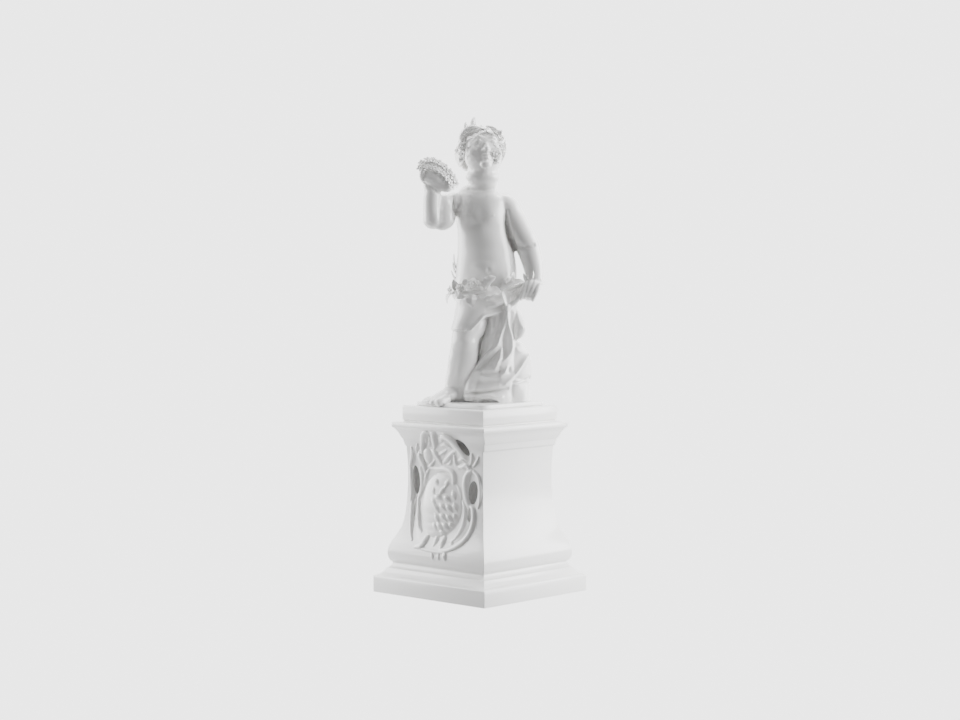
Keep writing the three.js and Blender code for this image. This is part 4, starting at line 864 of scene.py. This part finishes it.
# Two upright leaves over the brow, then roses, small flowers and leaves at both temples.
leaf((-3.6, -2, 170.4), (-4, -2, MODELLED_TIP), 5, facing=(-0.7, -0.6, 0.2), bow=0.3, blunt=1.8)
leaf((-7.4, -3, 169.6), (-9.4, -4, 175.6), 3.4, facing=(-0.7, -0.6, 0.2), bow=0.4, blunt=1.5)
leaf((12, -3, 159), (16, -2, 165.6), 4, facing=(0.7, -0.5, 0.5))
leaf((12.4, -4, 157.4), (17.6, -4, 156.4), 4, facing=(0.3, -0.6, 0.75))
leaf((11, -3, 167), (14, -2, 171.4), 2.6)
rose((9.4, -9.8, 155), 4.2, (0.3, -0.9, 0.1))
blossom((12.4, -6.6, 160.4), 2.8, (0.5, -0.8, 0.2))
leaf((7.4, -10.8, 152), (12.4, -9.6, 149), 2.8, ruffle=0.2)
rose((-11, -7.8, 160.2), 3.2, (-0.5, -0.85, 0.1), 0.4)
blossom((-11, -8.2, 155.4), 2.9, (-0.6, -0.8, 0))
blossom((-13.8, -5, 157.6), 2.6, (-0.7, -0.7, 0.2))
leaf((-11, -6, 154.6), (-12.8, -6, 150), 2.8)
for across in (-8, -4.6, -1.2, 2.2):
    stalk = (across, -9.4 + across * 0.1, 168 + across * 0.5)
    leaf(stalk, (across + 4.4, -9, 170.4 + across * 0.5), 3, facing=(-0.3, -0.5, 0.8), bow=0.5)
flowers = join(flowers, "flowers")
place_sculpture(flowers)


# Glaze
# Clear gloss over white porcelain. Its colour turns a little darker and warmer in hollows as painted shade,
# stays white on open edges, and is mottled a little at random.
class Socket:
    """Wraps a shader socket, so that maths on it is written as an expression."""

    def __init__(self, tree, socket):
        self.tree = tree
        self.socket = socket

    def math(self, operation, *values):
        return self.tree.node("ShaderNodeMath", {"operation": operation}, dict(enumerate(values)))

    def __add__(self, other):
        return self.math("ADD", self, other)

    __radd__ = __add__

    def __rsub__(self, other):
        return self.math("SUBTRACT", other, self)

    def __mul__(self, other):
        return self.math("MULTIPLY", self, other)


class Glaze:
    """A material and the nodes that make it."""

    def __init__(self, name):
        self.material = bpy.data.materials.new(name)
        self.material.use_nodes = True
        self.nodes = self.material.node_tree.nodes
        self.shader = self.nodes["Principled BSDF"]

    def node(self, kind, settings, inputs, output=0):
        made = self.nodes.new(kind)
        for name, value in settings.items():
            setattr(made, name, value)
        for name, value in inputs.items():
            self.put(made.inputs[name], value)
        return Socket(self, made.outputs[output])

    def put(self, target, value):
        if isinstance(value, Socket):
            self.material.node_tree.links.new(value.socket, target)
        else:
            target.default_value = value


WHITE_GLAZE = (0.87, 0.868, 0.86, 1)
# The dark end of the colour mix: painted shade in hollows, and a little random mottle.
SHADE_AND_MOTTLE_GLAZE = (0.76, 0.755, 0.735, 1)
# How far the ambient occlusion reaches when it paints shade into hollows.
PAINTED_SHADE_REACH = 0.006


def porcelain(name, coat_scale):
    glaze = Glaze(name)
    place = glaze.node("ShaderNodeTexCoord", {}, {}, "Object")
    cloud = glaze.node("ShaderNodeTexNoise", {}, {"Vector": place, "Scale": coat_scale, "Detail": 3.0})
    fine = glaze.node("ShaderNodeTexNoise", {}, {"Vector": place, "Scale": coat_scale * 9, "Detail": 2.0})
    openness = glaze.node("ShaderNodeAmbientOcclusion", {"samples": 6, "only_local": True},
                          {"Distance": PAINTED_SHADE_REACH}, "AO")
    # Painted shade from ambient occlusion in hollows, plus a little random mottle in the glaze's tone.
    painted_shade_and_mottle = (1 - openness) * 0.8 + cloud * 0.12
    glaze.put(glaze.shader.inputs["Base Color"], glaze.node(
        "ShaderNodeMix", {"data_type": "RGBA"}, {0: painted_shade_and_mottle, 6: WHITE_GLAZE, 7: SHADE_AND_MOTTLE_GLAZE}, 2))
    glaze.put(glaze.shader.inputs["Roughness"], 0.2 + cloud * 0.08)
    glaze.put(glaze.shader.inputs["Normal"], glaze.node(
        "ShaderNodeBump", {}, {"Strength": 0.12, "Distance": 0.0004, "Height": cloud + fine * 0.15}))
    glaze.shader.inputs["Specular IOR Level"].default_value = 0.5
    glaze.shader.inputs["Coat Weight"].default_value = 0.4
    glaze.shader.inputs["Coat Roughness"].default_value = 0.08
    return glaze.material


figure_glaze = porcelain("figure_glaze", 60.0)
pedestal_glaze = porcelain("pedestal_glaze", 40.0)
pedestal.data.materials.clear()
pedestal.data.materials.append(pedestal_glaze)
for piece in (body, drapery, hair, ground, flowers):
    piece.data.materials.clear()
    piece.data.materials.append(figure_glaze)

# Floor and light
# The photograph has one even pale ground without shadows. Soft light comes from all round, least from the
# viewer's own side, so that forms turn darker where they face the camera.
GROUND_LIGHT = 3.65
VIEWER_LIGHT = 0.12
DARKEST_TURN = VIEW_TURN - math.radians(10)
FLOOR_SIZE = 60
bpy.ops.object.select_all(action="DESELECT")
bpy.ops.mesh.primitive_plane_add(size=FLOOR_SIZE, location=(0, 0, 0))
floor = bpy.context.object
floor.name = "studio_floor"
paper = Glaze("studio_paper")
paper.shader.inputs["Base Color"].default_value = (0, 0, 0, 1)
paper.shader.inputs["Roughness"].default_value = 1.0
paper.shader.inputs["Specular IOR Level"].default_value = 0.0
paper.shader.inputs["Emission Color"].default_value = (1, 1, 1, 1)
paper.shader.inputs["Emission Strength"].default_value = GROUND_LIGHT
floor.data.materials.append(paper.material)
floor.visible_diffuse = False
floor.visible_glossy = False

world = bpy.data.worlds.new("studio")
bpy.context.scene.world = world
world.use_nodes = True
sky = world.node_tree
direction = sky.nodes.new("ShaderNodeTexCoord")
facing_viewer = sky.nodes.new("ShaderNodeVectorMath")
facing_viewer.operation = "DOT_PRODUCT"
facing_viewer.inputs[1].default_value = (math.sin(DARKEST_TURN), -math.cos(DARKEST_TURN), 0.0)
sky.links.new(direction.outputs["Generated"], facing_viewer.inputs[0])
dimmer = sky.nodes.new("ShaderNodeMapRange")
dimmer.interpolation_type = "SMOOTHSTEP"
dimmer.inputs["From Min"].default_value = -0.25
dimmer.inputs["From Max"].default_value = 0.35
dimmer.inputs["To Min"].default_value = GROUND_LIGHT
dimmer.inputs["To Max"].default_value = VIEWER_LIGHT
sky.links.new(facing_viewer.outputs["Value"], dimmer.inputs["Value"])
sky.links.new(dimmer.outputs["Result"], sky.nodes["Background"].inputs["Strength"])
sky.nodes["Background"].inputs["Color"].default_value = (1, 1, 1, 1)


LIGHTS_AIM = Vector((0, 0, 0.16))


def soft_light(turn, height, reach, size, watts):
    """An area lamp aimed at the figurine, turned by degrees from the viewer's side to the viewer's right."""
    angle = VIEW_TURN + math.radians(turn)
    place = Vector((math.sin(angle) * reach, -math.cos(angle) * reach, height))
    aim = LIGHTS_AIM - place
    bpy.ops.object.light_add(type="AREA", location=place, rotation=aim.to_track_quat("-Z", "Y").to_euler())
    lamp = bpy.context.object.data
    lamp.size = size
    lamp.energy = watts


soft_light(90, 0.45, 1.1, 0.9, 38)
soft_light(-104, 0.45, 1.1, 0.9, 22)
soft_light(-38, 0.03, 0.42, 0.3, 0.7)
soft_light(160, 1.1, 0.5, 0.6, 10)
